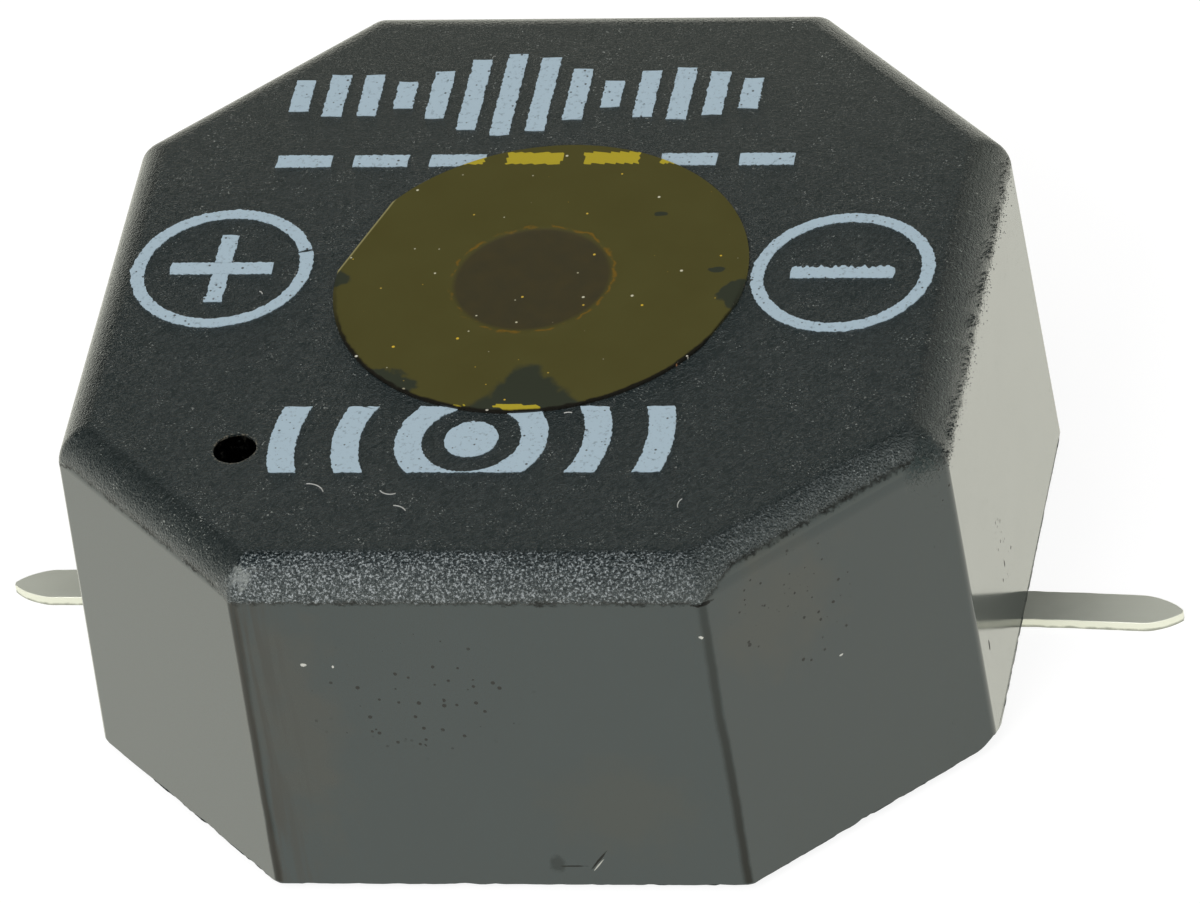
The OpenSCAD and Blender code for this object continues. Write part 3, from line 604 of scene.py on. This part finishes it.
# The vent has a pale, ragged lip, and inside it is painted dark as painted shade
from_vent = add(tree, "VectorMath", {0: place, 1: vent_at}, operation="SUBTRACT")
from_vent = add(tree, "VectorMath", {0: from_vent.outputs[0], 1: (1, 1, 0)}, operation="MULTIPLY")
from_vent = add(tree, "VectorMath", {0: from_vent.outputs[0]}, operation="LENGTH")
vent_lip = calc(tree, "MULTIPLY_ADD", fine, 0.1 * mm, from_vent.outputs["Value"])
vent_lip = ramp(tree, vent_lip, vent_r + 0.11 * mm, vent_r + 0.06 * mm)
fringe = times(tree, vent_lip, ramp(tree, crystals, 0.47, 0.6))
moulded = mix_colour(tree, fringe, moulded, (0.17, 0.155, 0.12, 1))
painted_vent_shade = times(tree, ramp(tree, at_z, top_z - 0.02 * mm, top_z - 0.06 * mm), vent_lip)
moulded = mix_colour(tree, painted_vent_shade, moulded, (0.001, 0.001, 0.001, 1))
polish = calc(tree, "MULTIPLY_ADD", cloudy, 0.1, 0.08)
marred = calc(tree, "MAXIMUM", times(tree, pits, 0.6), scrape)
marred = calc(tree, "MAXIMUM", marred, dashed)
for mask, share in ((marred, 0.5), (painted_corner_shade, 0.4), (grain_end_shade, 0.5)):
    polish = calc(tree, "MULTIPLY_ADD", mask, share, polish)
rough = add(tree, "Mix", {"Factor": grained, "A": polish, "B": 0.22})
rough = calc(tree, "ADD", rough.outputs[0], painted_vent_shade)
# On the right the grain breaks up into dark crumbs below the rounded edge
crumb_limit = ramp(tree, at_z, top_z - 1.35 * mm, top_z - 0.35 * mm, 0.3, 0.66)
crumbs_and_glints = ramp(tree, calc(tree, "SUBTRACT", crumb_limit, crystals), -0.02, 0.03)
crumbs_and_glints = times(tree, crumbs_and_glints, ramp(tree, at_x, 9.4 * mm, 9.7 * mm))
relief = calc(tree, "MULTIPLY_ADD", times(tree, crumbs_and_glints, crystals), 2.4, grain)
bump = add(tree, "Bump", {"Height": relief, "Strength": 1.0, "Distance": 0.03 * mm})
# Scuffed and hollow places, the painted shade lines, the vent's painted shade and the painted dark specks
# give back little light, and so do parts of the rounded edge
dull = calc(tree, "MAXIMUM", marred, painted_corner_shade)
dull = calc(tree, "MAXIMUM", dull, grain_end_shade)
dull = calc(tree, "MAXIMUM", times(tree, dull, 0.6), times(tree, painted_dark_specks, 0.45))
turned_away = times(tree, calc(tree, "SUBTRACT", 1.0, frontward), on_edge, grained)
left_low = ramp(tree, at_z, top_z - 0.6 * mm, top_z - 0.3 * mm, 0.0, 0.42)
right_low = ramp(tree, at_z, top_z - 0.9 * mm, top_z - 0.4 * mm, 0.12, 0.25)
by_side = add(tree, "Mix", {"Factor": to_right, "A": left_low, "B": right_low})
dull = calc(tree, "MULTIPLY_ADD", turned_away, by_side.outputs[0], dull)
to_corner = times(tree, calc(tree, "SUBTRACT", frontward, at_front), to_right, grained)
dull = calc(tree, "MULTIPLY_ADD", to_corner, 0.18, dull)
dull = calc(tree, "MAXIMUM", dull, times(tree, crumbs_and_glints, 0.62))
dull = calc(tree, "MAXIMUM", dull, painted_vent_shade)
fill(tree, shader, {
    "Base Color": moulded, "Roughness": rough, "IOR": 1.6, "Metallic": dull, "Normal": bump.outputs[0]})

housing = finish_piece("housing_moulding", body, moulding, "housing_plastic", "housing")
housing.modifiers.new("even_shading", "WEIGHTED_NORMAL").keep_sharp = True

# Print. One pass of pale blue-grey pad ink on the grained top: a plus and a minus in
# rings over the two terminals, a row of sound-wave bars, a row of dashes and a dot with
# arcs. The soft pad leaves ragged borders, nicks and pinholes.
ink_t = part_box("printed_marks")[1].z - top_z
film_r = 4.8 * mm
film_at = Vector((0.19, 0.08, 0)) * mm
ring_r = 2.12 * mm
ring_line = 0.3 * mm
plus_at = Vector((-7.372, 0.5, 0)) * mm
minus_at = Vector((7.182, 0.27, 0)) * mm
stroke_l, stroke_w = 2.4 * mm, 0.4 * mm
wave_at = Vector((-1.25, 6.83, 0)) * mm
wave_bars, wave_h, wave_w, wave_pitch = 14, 3.0 * mm, 0.46 * mm, 0.82 * mm
dash_at = Vector((-0.65, 4.4, 0)) * mm
dashes, dash_l, dash_w, dash_pitch = 7, 1.3 * mm, 0.42 * mm, 1.82 * mm
arc_at = Vector((-0.5, -5.62, 0)) * mm
arcs, arc_w, arc_h, arc_pitch = 3, 0.62 * mm, 2.3 * mm, 1.45 * mm
border_step = 0.028 * mm
across = 2
spills = (
    (-9.40, 0.42, 0.14), (-7.36, 2.52, 0.13), (-8.50, 0.46, 0.12), (-7.50, -0.62, 0.13), (6.1, 0.20, 0.12))


def ragged(bm, amount=0.02 * mm):
    """Pushes the border of a flat shape in and out along the surface, as a soft pad leaves it."""
    bm.normal_update()
    for v in [v for v in bm.verts if v.is_boundary]:
        for x, y, reach in spills:
            away = v.co.xy - Vector((x, y)) * mm
            if away.length < reach * mm:
                v.co.xy += away.normalized() * (reach * mm - away.length)
        coarse = noise.noise_vector(v.co / (0.17 * mm)) * amount
        close = noise.noise_vector(v.co / (0.055 * mm) + Vector((7, 3, 1))) * amount * 1.3
        v.co.xy += (coarse + close).xy


def raise_ink(bm, into):
    """Gives a flat shape the ink's thickness and adds it to the others."""
    up = bmesh.ops.extrude_face_region(bm, geom=bm.faces[:])["geom"]
    bmesh.ops.translate(bm, verts=[v for v in up if isinstance(v, bmesh.types.BMVert)], vec=(0, 0, ink_t))
    bmesh.ops.recalc_face_normals(bm, faces=bm.faces[:])
    mesh = bpy.data.meshes.new("ink")
    bm.to_mesh(mesh)
    bm.free()
    into.from_mesh(mesh)
    bpy.data.meshes.remove(mesh)


def bar(at, length, width, into, rough_top=0.0):
    """Rectangle of ink with its middle at a point of the top face."""
    bm = bmesh.new()
    longer = max(length, width)
    counts = [round(side / border_step) if side == longer else across for side in (length, width)]
    bmesh.ops.create_grid(bm, x_segments=counts[0], y_segments=counts[1], size=0.5)
    bmesh.ops.scale(bm, verts=bm.verts[:], vec=(length, width, 1))
    if rough_top:
        for v in bm.verts:
            if v.is_boundary and v.co.y > 0.4 * width:
                v.co.y += rough_top * noise.noise(v.co / (0.11 * mm))
    bmesh.ops.translate(bm, verts=bm.verts[:], vec=at + Vector((0, 0, top_z)))
    ragged(bm)
    raise_ink(bm, into)


def ring(at, radius, line, start, sweep, into, clip_h=0.0):
    """Arc of ink from an outer radius in, which may be cut off level above and below."""
    turn = Matrix.Rotation(start, 3, "Z")
    points = [turn @ Vector((radius - line * i / across, 0, 0)) for i in range(across + 1)]
    bm = swept(points, max(8, round(radius * sweep / border_step)), sweep, merge=False)
    for side in (-1, 1) if clip_h else ():
        bmesh.ops.bisect_plane(
            bm, geom=bm.verts[:] + bm.edges[:] + bm.faces[:], dist=1e-9,
            plane_co=(0, side * clip_h / 2, 0), plane_no=(0, side, 0), clear_outer=True)
    bmesh.ops.translate(bm, verts=bm.verts[:], vec=at + Vector((0, 0, top_z)))
    ragged(bm)
    raise_ink(bm, into)


ink = bmesh.new()
cut_at, cut_open = math.radians(17), math.radians(2.2)
ring(plus_at, ring_r, ring_line, cut_at + cut_open, math.tau - cut_open, ink)
ring(minus_at, ring_r, ring_line, 0, math.tau, ink)
for at in (plus_at, minus_at):
    bar(at, stroke_l, stroke_w, ink, rough_top=0.16 * mm if at == minus_at else 0.0)
arm = (stroke_l - stroke_w) / 2
for side in (-1, 1):
    bar(plus_at + Vector((0, side * (stroke_w + arm) / 2, 0)), stroke_w, arm, ink)
for i in range(wave_bars):
    share = (i + 0.5) / wave_bars
    swell = math.sin(math.pi * share) * abs(math.cos(math.radians(430 * share - 20)))
    bar(wave_at + Vector(((i - (wave_bars - 1) / 2) * wave_pitch, 0, 0)),
        wave_w, wave_h * (0.3 + 0.7 * swell), ink)
for i in range(dashes):
    bar(dash_at + Vector(((i - (dashes - 1) / 2) * dash_pitch, 0, 0)), dash_l, dash_w, ink)
ring(arc_at, arc_w, arc_w - 1e-6, 0, math.tau, ink)
for i in range(1, arcs + 1):
    outer = i * arc_pitch + arc_w / 2
    reach = math.asin(min(1, arc_h / 2 / (outer - arc_w)))
    for side in (0, math.pi):
        ring(arc_at, outer, arc_w, side - reach, 2 * reach, ink, clip_h=arc_h)

ink_blue = (0.47, 0.60, 0.69, 1)
ink_thin = (0.21, 0.28, 0.33, 1)
pad_ink, tree, shader, place = new_paint("pad_ink")
mottle = soft_noise(tree, place, 0.11 * mm, 4.0, roughness=0.7)
thin = ramp(tree, mottle, 0.56, 0.72)
holes = use_group(tree, spots, {
    "Place": place, "Cell": 0.10 * mm, "Size": 0.40, "Share": 0.26, "Softness": 0.15})
colour = mix_colour(tree, thin, ink_blue, ink_thin)
colour = mix_colour(tree, holes.outputs["Mask"], colour, (0.05, 0.055, 0.06, 1))
bump = add(tree, "Bump", {"Height": mottle, "Strength": 0.3, "Distance": 0.015 * mm})
fill(tree, shader, {"Base Color": colour, "Roughness": 0.55, "Normal": bump.outputs[0]})
finish_piece("pad_print", ink, pad_ink, "ink", "printed_marks")

# Sealing film. A disc of amber film with its own glue, punched out and stuck over the
# sound hole before washing. It sags a little over the hole, it is trimmed at two edges,
# and where the glue has wetted the grain it looks dark.
film_low, film_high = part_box("sealing_film")
film_t = film_high.z - film_low.z
film_sag = 0.018 * mm
film_trims = ((math.radians(161), 0.18 * mm), (math.radians(-21), 0.07 * mm))
film_rings, film_steps = 80, 420


def inked(x, y):
    """Whether there is ink under a point of the film."""
    along = (x - dash_at.x) / dash_pitch + dashes / 2
    if abs(y - dash_at.y) < dash_w / 2 and 0 < along < dashes:
        return abs(along % 1 - 0.5) * dash_pitch < dash_l / 2
    away = Vector((x - arc_at.x, y - arc_at.y))
    nearest = round(away.length / arc_pitch)
    on_arc = abs(away.length - nearest * arc_pitch) < arc_w / 2 and abs(away.x) > 0.33 * mm
    return abs(away.y) < arc_h / 2 and on_arc


bm = swept([(film_r * i / film_rings, 0, 0) for i in range(film_rings + 1)], film_steps)
bmesh.ops.recalc_face_normals(bm, faces=bm.faces[:])
if sum(f.normal.z for f in bm.faces) < 0:
    bmesh.ops.reverse_faces(bm, faces=bm.faces[:])
for v in bm.verts:
    shift = min(1, max(0, (v.co.length - hole_r - 0.3 * mm) / (1.5 * mm)))
    v.co += film_at * shift
for angle, depth in film_trims:
    out = Vector((math.cos(angle), math.sin(angle), 0))
    bmesh.ops.bisect_plane(
        bm, geom=bm.verts[:] + bm.edges[:] + bm.faces[:], dist=1e-9,
        plane_co=film_at + out * (film_r - depth), plane_no=out, clear_outer=True)
print_under = bm.verts.layers.float.new("print_under")
for v in bm.verts:
    v[print_under] = 1.0 if inked(v.co.x, v.co.y) else 0.0
    sink = min(1, max(0, 1 - (v.co.xy.length / hole_r) ** 4))
    lap = math.exp(-(((v.co.xy.length - hole_r - 0.08 * mm) / (0.12 * mm)) ** 2))
    wave = 0.006 * mm * noise.noise(v.co / (0.9 * mm))
    v.co.z = top_z + film_t - 0.008 * mm - film_sag * sink + 0.006 * mm * lap + wave
bmesh.ops.solidify(bm, geom=bm.faces[:], thickness=film_t * 0.9)

film_paint, tree, shader, place = new_paint("amber_film")
at_x, at_y, at_z = add(tree, "SeparateXYZ", {"Vector": place}).outputs
flat_place = add(tree, "CombineXYZ", {"X": at_x, "Y": at_y}).outputs[0]
clouds = soft_noise(tree, flat_place, 1.6 * mm, 3.0)
colour = mix_colour(tree, clouds, (0.075, 0.066, 0.015, 1), (0.092, 0.085, 0.023, 1))
wet_patches = (
    ((0.42, -4.3), (0.62, 1.42), 0.4), ((0.62, -4.75), (1.55, 0.95), 0.5), ((0.5, -4.6), (1.0, 1.35), 0.4),
    ((-3.05, -3.75), (1.05, 0.62), 1.1),
    ((4.25, 0.33), (0.22, 0.12), 1.6), ((4.95, -0.55), (0.55, 0.55), 1.3), ((-4.75, 0.0), (0.5, 0.4), 1.0),
    ((2.65, 2.35), (0.16, 0.08), 1.6))
wet = 0.0
for (x, y), (rx, ry), rag in wet_patches:
    patch = ragged_spot(tree, flat_place, (x, y, 0), (rx, ry, 1000), rag, 0.4 * mm, 0.2)
    wet = calc(tree, "MAXIMUM", wet, patch)
colour = mix_colour(tree, wet, colour, (0.034, 0.041, 0.026, 1))
from_hole = add(tree, "VectorMath", {0: flat_place}, operation="LENGTH").outputs["Value"]
over_hole = ramp(tree, from_hole, hole_r - 0.1 * mm, hole_r + 0.02 * mm, 1.0, 0.0)
brown = soft_noise(tree, flat_place, 0.5 * mm, 4.0)
brown = mix_colour(tree, brown, (0.042, 0.04, 0.022, 1), (0.068, 0.053, 0.02, 1))
colour = mix_colour(tree, over_hole, colour, brown)
swerve = soft_noise(tree, flat_place, 0.45 * mm, 3.0)
swerve = calc(tree, "MULTIPLY_ADD", swerve, 0.36 * mm, from_hole)
off_lip = calc(tree, "ABSOLUTE", calc(tree, "SUBTRACT", swerve, hole_r + 0.23 * mm))
broken = ramp(tree, soft_noise(tree, flat_place, 0.35 * mm, 4.0), 0.44, 0.58)
lip = times(tree, ramp(tree, off_lip, 0.0, 0.055 * mm, 1.0, 0.0), broken)
colour = mix_colour(tree, lip, colour, (0.2, 0.11, 0.012, 1))
printed = add(tree, "Attribute", attribute_name="print_under")
crumbly = soft_noise(tree, flat_place, 0.08 * mm, 2.0)
crumbly = calc(tree, "MULTIPLY_ADD", crumbly, 0.35, -0.18)
printed = ramp(tree, calc(tree, "ADD", printed.outputs["Fac"], crumbly), 0.4, 0.6)
colour = mix_colour(tree, printed, colour, (0.5, 0.4, 0.03, 1))
glints = use_group(tree, spots, {
    "Place": flat_place, "Cell": 0.30 * mm, "Size": 0.15, "Share": 0.62, "Softness": 0.05})
glint_tone = mix_colour(tree, glints.outputs["Tone"], (0.7, 0.68, 0.5, 1), (0.75, 0.5, 0.04, 1))
colour = mix_colour(tree, glints.outputs["Mask"], colour, glint_tone)
# Along the edge towards the front the film is painted dark, as glue and painted shade under the edge, with
# a few painted glints in it
from_edge = add(tree, "VectorMath", {0: flat_place, 1: film_at}, operation="SUBTRACT")
from_edge = add(tree, "VectorMath", {0: from_edge.outputs[0]}, operation="LENGTH")
uneven = soft_noise(tree, flat_place, 0.3 * mm, 4.0)
from_edge = calc(tree, "MULTIPLY_ADD", uneven, 0.12 * mm, from_edge.outputs["Value"])
edge_shade_and_glue = ramp(tree, from_edge, film_r - 0.05 * mm, film_r + 0.01 * mm)
edge_shade_and_glue = times(tree, edge_shade_and_glue, ramp(tree, at_y, 0.3 * mm, -2.2 * mm))
colour = mix_colour(tree, edge_shade_and_glue, colour, (0.006, 0.005, 0.003, 1))
crumbs_and_glints = use_group(tree, spots, {
    "Place": flat_place, "Cell": 0.16 * mm, "Size": 0.30, "Share": 0.22, "Softness": 0.1})
edge_glint_tone = mix_colour(tree, crumbs_and_glints.outputs["Tone"], (0.8, 0.8, 0.7, 1), (0.5, 0.16, 0.01, 1))
crumbs_and_glints = times(tree, crumbs_and_glints.outputs["Mask"], edge_shade_and_glue)
colour = mix_colour(tree, crumbs_and_glints, colour, edge_glint_tone)
trim_angle, trim_depth = film_trims[0]
trim_out = (math.cos(trim_angle), math.sin(trim_angle), 0)
trim_at = film_at.dot(Vector(trim_out)) + film_r - trim_depth
to_trim = add(tree, "VectorMath", {0: flat_place, 1: trim_out}, operation="DOT_PRODUCT")
to_trim = ramp(tree, to_trim.outputs["Value"], trim_at - 0.05 * mm, trim_at - 0.03 * mm)
colour = mix_colour(tree, to_trim, colour, (0.3, 0.27, 0.12, 1))
weave = soft_noise(tree, flat_place, 0.12 * mm, 2.0)
bump = add(tree, "Bump", {"Height": weave, "Strength": 0.12, "Distance": 0.01 * mm})
fill(tree, shader, {"Base Color": colour, "Roughness": 0.22, "Normal": bump.outputs[0]})
finish_piece("amber_film", bm, film_paint, "film", "sealing_film")

# Terminals. Two strips of tinned steel, sheared to a point at the free end and bent up
# through the potting into the board. The shear leaves a bright, wavy edge.
terminal_w, terminal_t = 1.0 * mm, 0.25 * mm
tip_l, tip_w = 1.05 * mm, 0.10 * mm
bent_out = 0.22 * mm
bend_r = 0.3 * mm
strip_step = 0.06 * mm


def strip(node, facing, side_y, paint):
    """Builds one terminal over its node: facing is -1 for the one that leaves to the left."""
    low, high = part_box(node)
    leg_x = low.x if facing > 0 else -high.x
    tip_x = high.x if facing > 0 else -low.x
    flat = tip_x - leg_x - bend_r - terminal_t
    arc = (bend_r + terminal_t) * math.pi / 2
    length = flat + arc + high.z - bend_r - terminal_t
    bm = bmesh.new()
    bmesh.ops.create_grid(bm, x_segments=round(length / strip_step), y_segments=6, size=0.5)
    drop = (terminal_w - tip_w) / 2
    tip_r = (tip_l ** 2 + drop ** 2) / (2 * drop)
    for v in bm.verts:
        s = (v.co.x + 0.5) * length
        half = terminal_w / 2
        if s < tip_l:
            half = math.sqrt(max(0, tip_r ** 2 - (tip_l - s) ** 2)) - tip_r + terminal_w / 2
        wavy = 0.012 * mm * noise.noise(Vector((s / (0.35 * mm), facing, v.co.y)))
        across = v.co.y * 2 * (half + (wavy if v.is_boundary else 0))
        turn = min(math.pi / 2, max(0, (s - flat) / (bend_r + terminal_t)))
        climb = max(0, s - flat - arc)
        x = tip_x - min(s, flat) - (bend_r + terminal_t) * math.sin(turn)
        free = max(0, x - body_half) / (tip_x - body_half)
        across += bent_out * free ** 1.3 if facing > 0 else 0
        z = (bend_r + terminal_t) * (1 - math.cos(turn)) + climb
        v.co = Vector((facing * x, side_y - across, z))
    bmesh.ops.recalc_face_normals(bm, faces=bm.faces[:])
    foot = min(bm.faces, key=lambda f: -abs(f.calc_center_median().x))
    foot.normal_update()
    if foot.normal.z > 0:
        bmesh.ops.reverse_faces(bm, faces=bm.faces[:])
    bmesh.ops.solidify(bm, geom=bm.faces[:], thickness=terminal_t)
    made = finish_piece(node + "_strip", bm, paint, "terminal_metal", node)
    soft = made.modifiers.new("shear_edge", "BEVEL")
    soft.width, soft.segments = 0.018 * mm, 2
    soft.limit_method, soft.angle_limit = "ANGLE", math.radians(50)
    return made


tinned, tree, shader, place = new_paint("tinned_steel")
facing_up = add(tree, "SeparateXYZ", {"Vector": add(tree, "NewGeometry").outputs["Normal"]})
facing_up = calc(tree, "ABSOLUTE", facing_up.outputs["Z"])
flat = ramp(tree, facing_up, 0.5, 0.9)
rolled = add(tree, "Mapping", {"Vector": place, "Scale": (0.08, 1, 1)})
rolled = soft_noise(tree, rolled.outputs[0], 0.06 * mm, 3.0)
dull = soft_noise(tree, place, 0.5 * mm, 3.0)
at_x, at_y, at_z = add(tree, "SeparateXYZ", {"Vector": place}).outputs
# Near the body the flat faces are painted darker, as the painted reflection of the black body, and paler
# further out
paler_away_from_body = ramp(tree, calc(tree, "ABSOLUTE", at_x), 10.6 * mm, 13.6 * mm)
face_tone = mix_colour(tree, dull, (0.66, 0.69, 0.62, 1), (0.8, 0.82, 0.75, 1))
face_tone = mix_colour(tree, paler_away_from_body, face_tone, (0.92, 0.95, 0.86, 1))
uneven = soft_noise(tree, place, 0.25 * mm, 3.0)
torn = calc(tree, "MULTIPLY_ADD", uneven, 0.12 * mm, at_z)
torn = ramp(tree, torn, 0.15 * mm, 0.09 * mm)
sheared = mix_colour(tree, torn, (0.76, 0.77, 0.68, 1), (0.3, 0.31, 0.27, 1))
colour = mix_colour(tree, flat, sheared, face_tone)
rough = calc(tree, "MULTIPLY_ADD", rolled, 0.2, 0.3)
bump = add(tree, "Bump", {"Height": rolled, "Strength": 0.25, "Distance": 0.01 * mm})
fill(tree, shader, {
    "Base Color": colour, "Metallic": 0.55, "Roughness": rough, "Normal": bump.outputs[0]})
strip("plus_terminal", -1, 0.0, tinned)
strip("minus_terminal", 1, -0.75 * mm, tinned)

# Potting. Black casting resin, poured in flush with the board and cured face up, so it
# creeps up the wall and dips slightly in the middle.
pot_low, pot_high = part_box("potting")
creep = 0.10 * mm
bm = bmesh.new()
eight_sided(bm, wall + 0.01 * mm, pot_low.z)
middle = bm.faces[:]
for step in range(9):
    bmesh.ops.inset_region(bm, faces=middle, thickness=0.12 * mm * 1.35 ** step, use_even_offset=True)
bmesh.ops.triangulate(bm, faces=middle)
bmesh.ops.subdivide_edges(bm, edges=bm.edges[:], cuts=3, use_grid_fill=True)
half = body_half - wall
corner_half = (2 * body_half - corner_cut) / math.sqrt(2) - wall
for v in bm.verts:
    x, y = abs(v.co.x), abs(v.co.y)
    from_wall = max(0, min(half - max(x, y), corner_half - (x + y) / math.sqrt(2)))
    v.co.z += 0.02 * mm * noise.noise(v.co / (3.5 * mm)) - creep * math.exp(-from_wall / (0.3 * mm))
bmesh.ops.recalc_face_normals(bm, faces=bm.faces[:])
if sum(f.normal.z for f in bm.faces) > 0:
    bmesh.ops.reverse_faces(bm, faces=bm.faces[:])
bmesh.ops.solidify(bm, geom=bm.faces[:], thickness=pot_high.z - pot_low.z - 0.05 * mm)
resin, tree, shader, place = new_paint("casting_resin")
cloudy = soft_noise(tree, place, 3 * mm, 3.0)
bubbles = use_group(tree, spots, {
    "Place": place, "Cell": 1.3 * mm, "Size": 0.22, "Share": 0.35, "Softness": 0.1})
tone = mix_colour(tree, cloudy, (0.012, 0.013, 0.014, 1), (0.024, 0.024, 0.024, 1))
ripple = soft_noise(tree, place, 1.8 * mm, 1.0)
relief = calc(tree, "SUBTRACT", ripple, bubbles.outputs["Mask"])
bump = add(tree, "Bump", {"Height": relief, "Strength": 0.5, "Distance": 0.06 * mm})
fill(tree, shader, {"Base Color": tone, "Roughness": 0.16, "Normal": bump.outputs[0]})
finish_piece("potting_resin", bm, resin, "potting_resin", "potting")


# Sound element, board and wiring. A brass disc with its silvered ceramic, the glue bead,
# the laminate with its copper, the chips, the transistor and the diode on their leads,
# the solder and three coloured wires. They keep the shapes of the frame.
def inner_finish(name, dark, light, roughness, metallic, cell, stretch=(1, 1, 1), relief=0.01 * mm):
    """Material of an inner piece: a colour that varies over cells, with a matching relief."""
    paint, tree, shader, place = new_paint(name)
    drawn = add(tree, "Mapping", {"Vector": place, "Scale": stretch})
    grain = soft_noise(tree, drawn.outputs[0], cell, 4.0)
    bump = add(tree, "Bump", {"Height": grain, "Strength": 0.4, "Distance": relief})
    fill(tree, shader, {
        "Base Color": mix_colour(tree, grain, dark, light), "Metallic": metallic,
        "Roughness": calc(tree, "MULTIPLY_ADD", grain, 0.16, roughness - 0.08),
        "Normal": bump.outputs[0]})
    return paint


inner_finishes = {
    "brass_sheet": (
        ["diaphragm"], (0.55, 0.36, 0.11, 1), (0.78, 0.56, 0.22, 1), 0.3, 1.0, 0.1 * mm, (0.05, 1, 1)),
    "silicone_bead": (
        ["diaphragm_glue"], (0.55, 0.55, 0.52, 1), (0.72, 0.72, 0.68, 1), 0.35, 0.0, 0.8 * mm),
    "fired_ceramic": (
        ["piezo_ceramic"], (0.58, 0.50, 0.33, 1), (0.72, 0.64, 0.46, 1), 0.6, 0.0, 0.15 * mm),
    "fired_silver": (
        ["main_electrode", "feedback_electrode"],
        (0.50, 0.50, 0.48, 1), (0.78, 0.78, 0.75, 1), 0.45, 0.9, 0.12 * mm),
    "glass_laminate": (
        ["circuit_board"], (0.03, 0.11, 0.04, 1), (0.06, 0.19, 0.07, 1), 0.4, 0.0, 0.3 * mm, (1, 0.3, 1)),
    "etched_copper": (
        ["copper_tracks"], (0.62, 0.27, 0.12, 1), (0.85, 0.42, 0.22, 1), 0.3, 1.0, 0.2 * mm),
    "solder": (
        ["plus_terminal_solder", "minus_terminal_solder", "chip_solder", "disc_joints", "board_joints"],
        (0.50, 0.50, 0.49, 1), (0.75, 0.75, 0.74, 1), 0.28, 1.0, 0.35 * mm),
    "black_moulding_compound": (
        ["driver_transistor", "protection_diode"],
        (0.014, 0.014, 0.015, 1), (0.03, 0.03, 0.032, 1), 0.55, 0.0, 0.07 * mm),
    "tinned_leads": (
        ["transistor_leads", "diode_leads"],
        (0.55, 0.55, 0.53, 1), (0.80, 0.80, 0.77, 1), 0.3, 1.0, 0.1 * mm),
    "glazed_resistor": (
        ["load_resistor", "bias_resistor", "feedback_resistor"],
        (0.015, 0.015, 0.018, 1), (0.04, 0.04, 0.045, 1), 0.3, 0.0, 0.2 * mm),
    "ceramic_capacitor": (
        ["supply_capacitor"], (0.25, 0.17, 0.10, 1), (0.38, 0.28, 0.17, 1), 0.5, 0.0, 0.25 * mm),
    "red_sleeve": (["main_wire"], (0.30, 0.02, 0.015, 1), (0.42, 0.04, 0.03, 1), 0.35, 0.0, 0.5 * mm),
    "blue_sleeve": (["feedback_wire"], (0.02, 0.05, 0.24, 1), (0.04, 0.09, 0.36, 1), 0.35, 0.0, 0.5 * mm),
    "black_sleeve": (["ground_wire"], (0.015, 0.015, 0.015, 1), (0.03, 0.03, 0.03, 1), 0.35, 0.0, 0.5 * mm),
}
# The nodes that the pieces above stand for keep a matching finish
finishes = {
    "housing": moulding, "sealing_film": film_paint, "printed_marks": pad_ink,
    "plus_terminal": tinned, "minus_terminal": tinned, "potting": resin}
for name, (nodes, *look) in inner_finishes.items():
    finishes.update(dict.fromkeys(nodes, inner_finish(name, *look)))
for node, paint in finishes.items():
    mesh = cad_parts[node].data
    mesh.materials.clear()
    mesh.materials.append(paint)

# Dust. A few short pale fibres and crumbs lie on the top and the front, as they do on a
# part that has been handled.
fibres = (
    ((-4.01, -7.59), 20, 0.42, 75), ((-2.06, -7.24), 215, 0.30, 80), ((-1.91, -8.28), 30, 0.35, 60),
    ((-6.38, -0.45), 10, 0.12, 60), ((1.6, -4.9), 70, 0.22, 50), ((4.9, -7.9), 140, 0.30, 60))
fibre_r = 0.012 * mm
lint = bmesh.new()
for (x, y), turn, radius, sweep in fibres:
    tube = bmesh.new()
    bmesh.ops.create_circle(
        tube, cap_ends=True, segments=6, radius=fibre_r, matrix=Matrix.Rotation(math.pi / 2, 4, "X"))
    bmesh.ops.translate(tube, verts=tube.verts[:], vec=(radius * mm, 0, 0))
    bmesh.ops.spin(
        tube, geom=tube.verts[:] + tube.edges[:] + tube.faces[:], axis=(0, 0, 1), cent=(0, 0, 0),
        angle=math.radians(sweep), steps=10, use_merge=False)
    bmesh.ops.recalc_face_normals(tube, faces=tube.faces[:])
    lies_at = Matrix.Translation((x * mm, y * mm, top_z + fibre_r))
    bmesh.ops.transform(
        tube, verts=tube.verts[:], matrix=lies_at @ Matrix.Rotation(math.radians(turn), 4, "Z"))
    mesh = bpy.data.meshes.new("fibre")
    tube.to_mesh(mesh)
    tube.free()
    lint.from_mesh(mesh)
    bpy.data.meshes.remove(mesh)
lint_paint, tree, shader, place = new_paint("lint")
tone = soft_noise(tree, place, 0.1 * mm)
tone = mix_colour(tree, tone, (0.4, 0.4, 0.38, 1), (0.7, 0.7, 0.68, 1))
fill(tree, shader, {"Base Color": tone, "Roughness": 0.7})
finish_piece("lint_fibres", lint, lint_paint, "silicone")
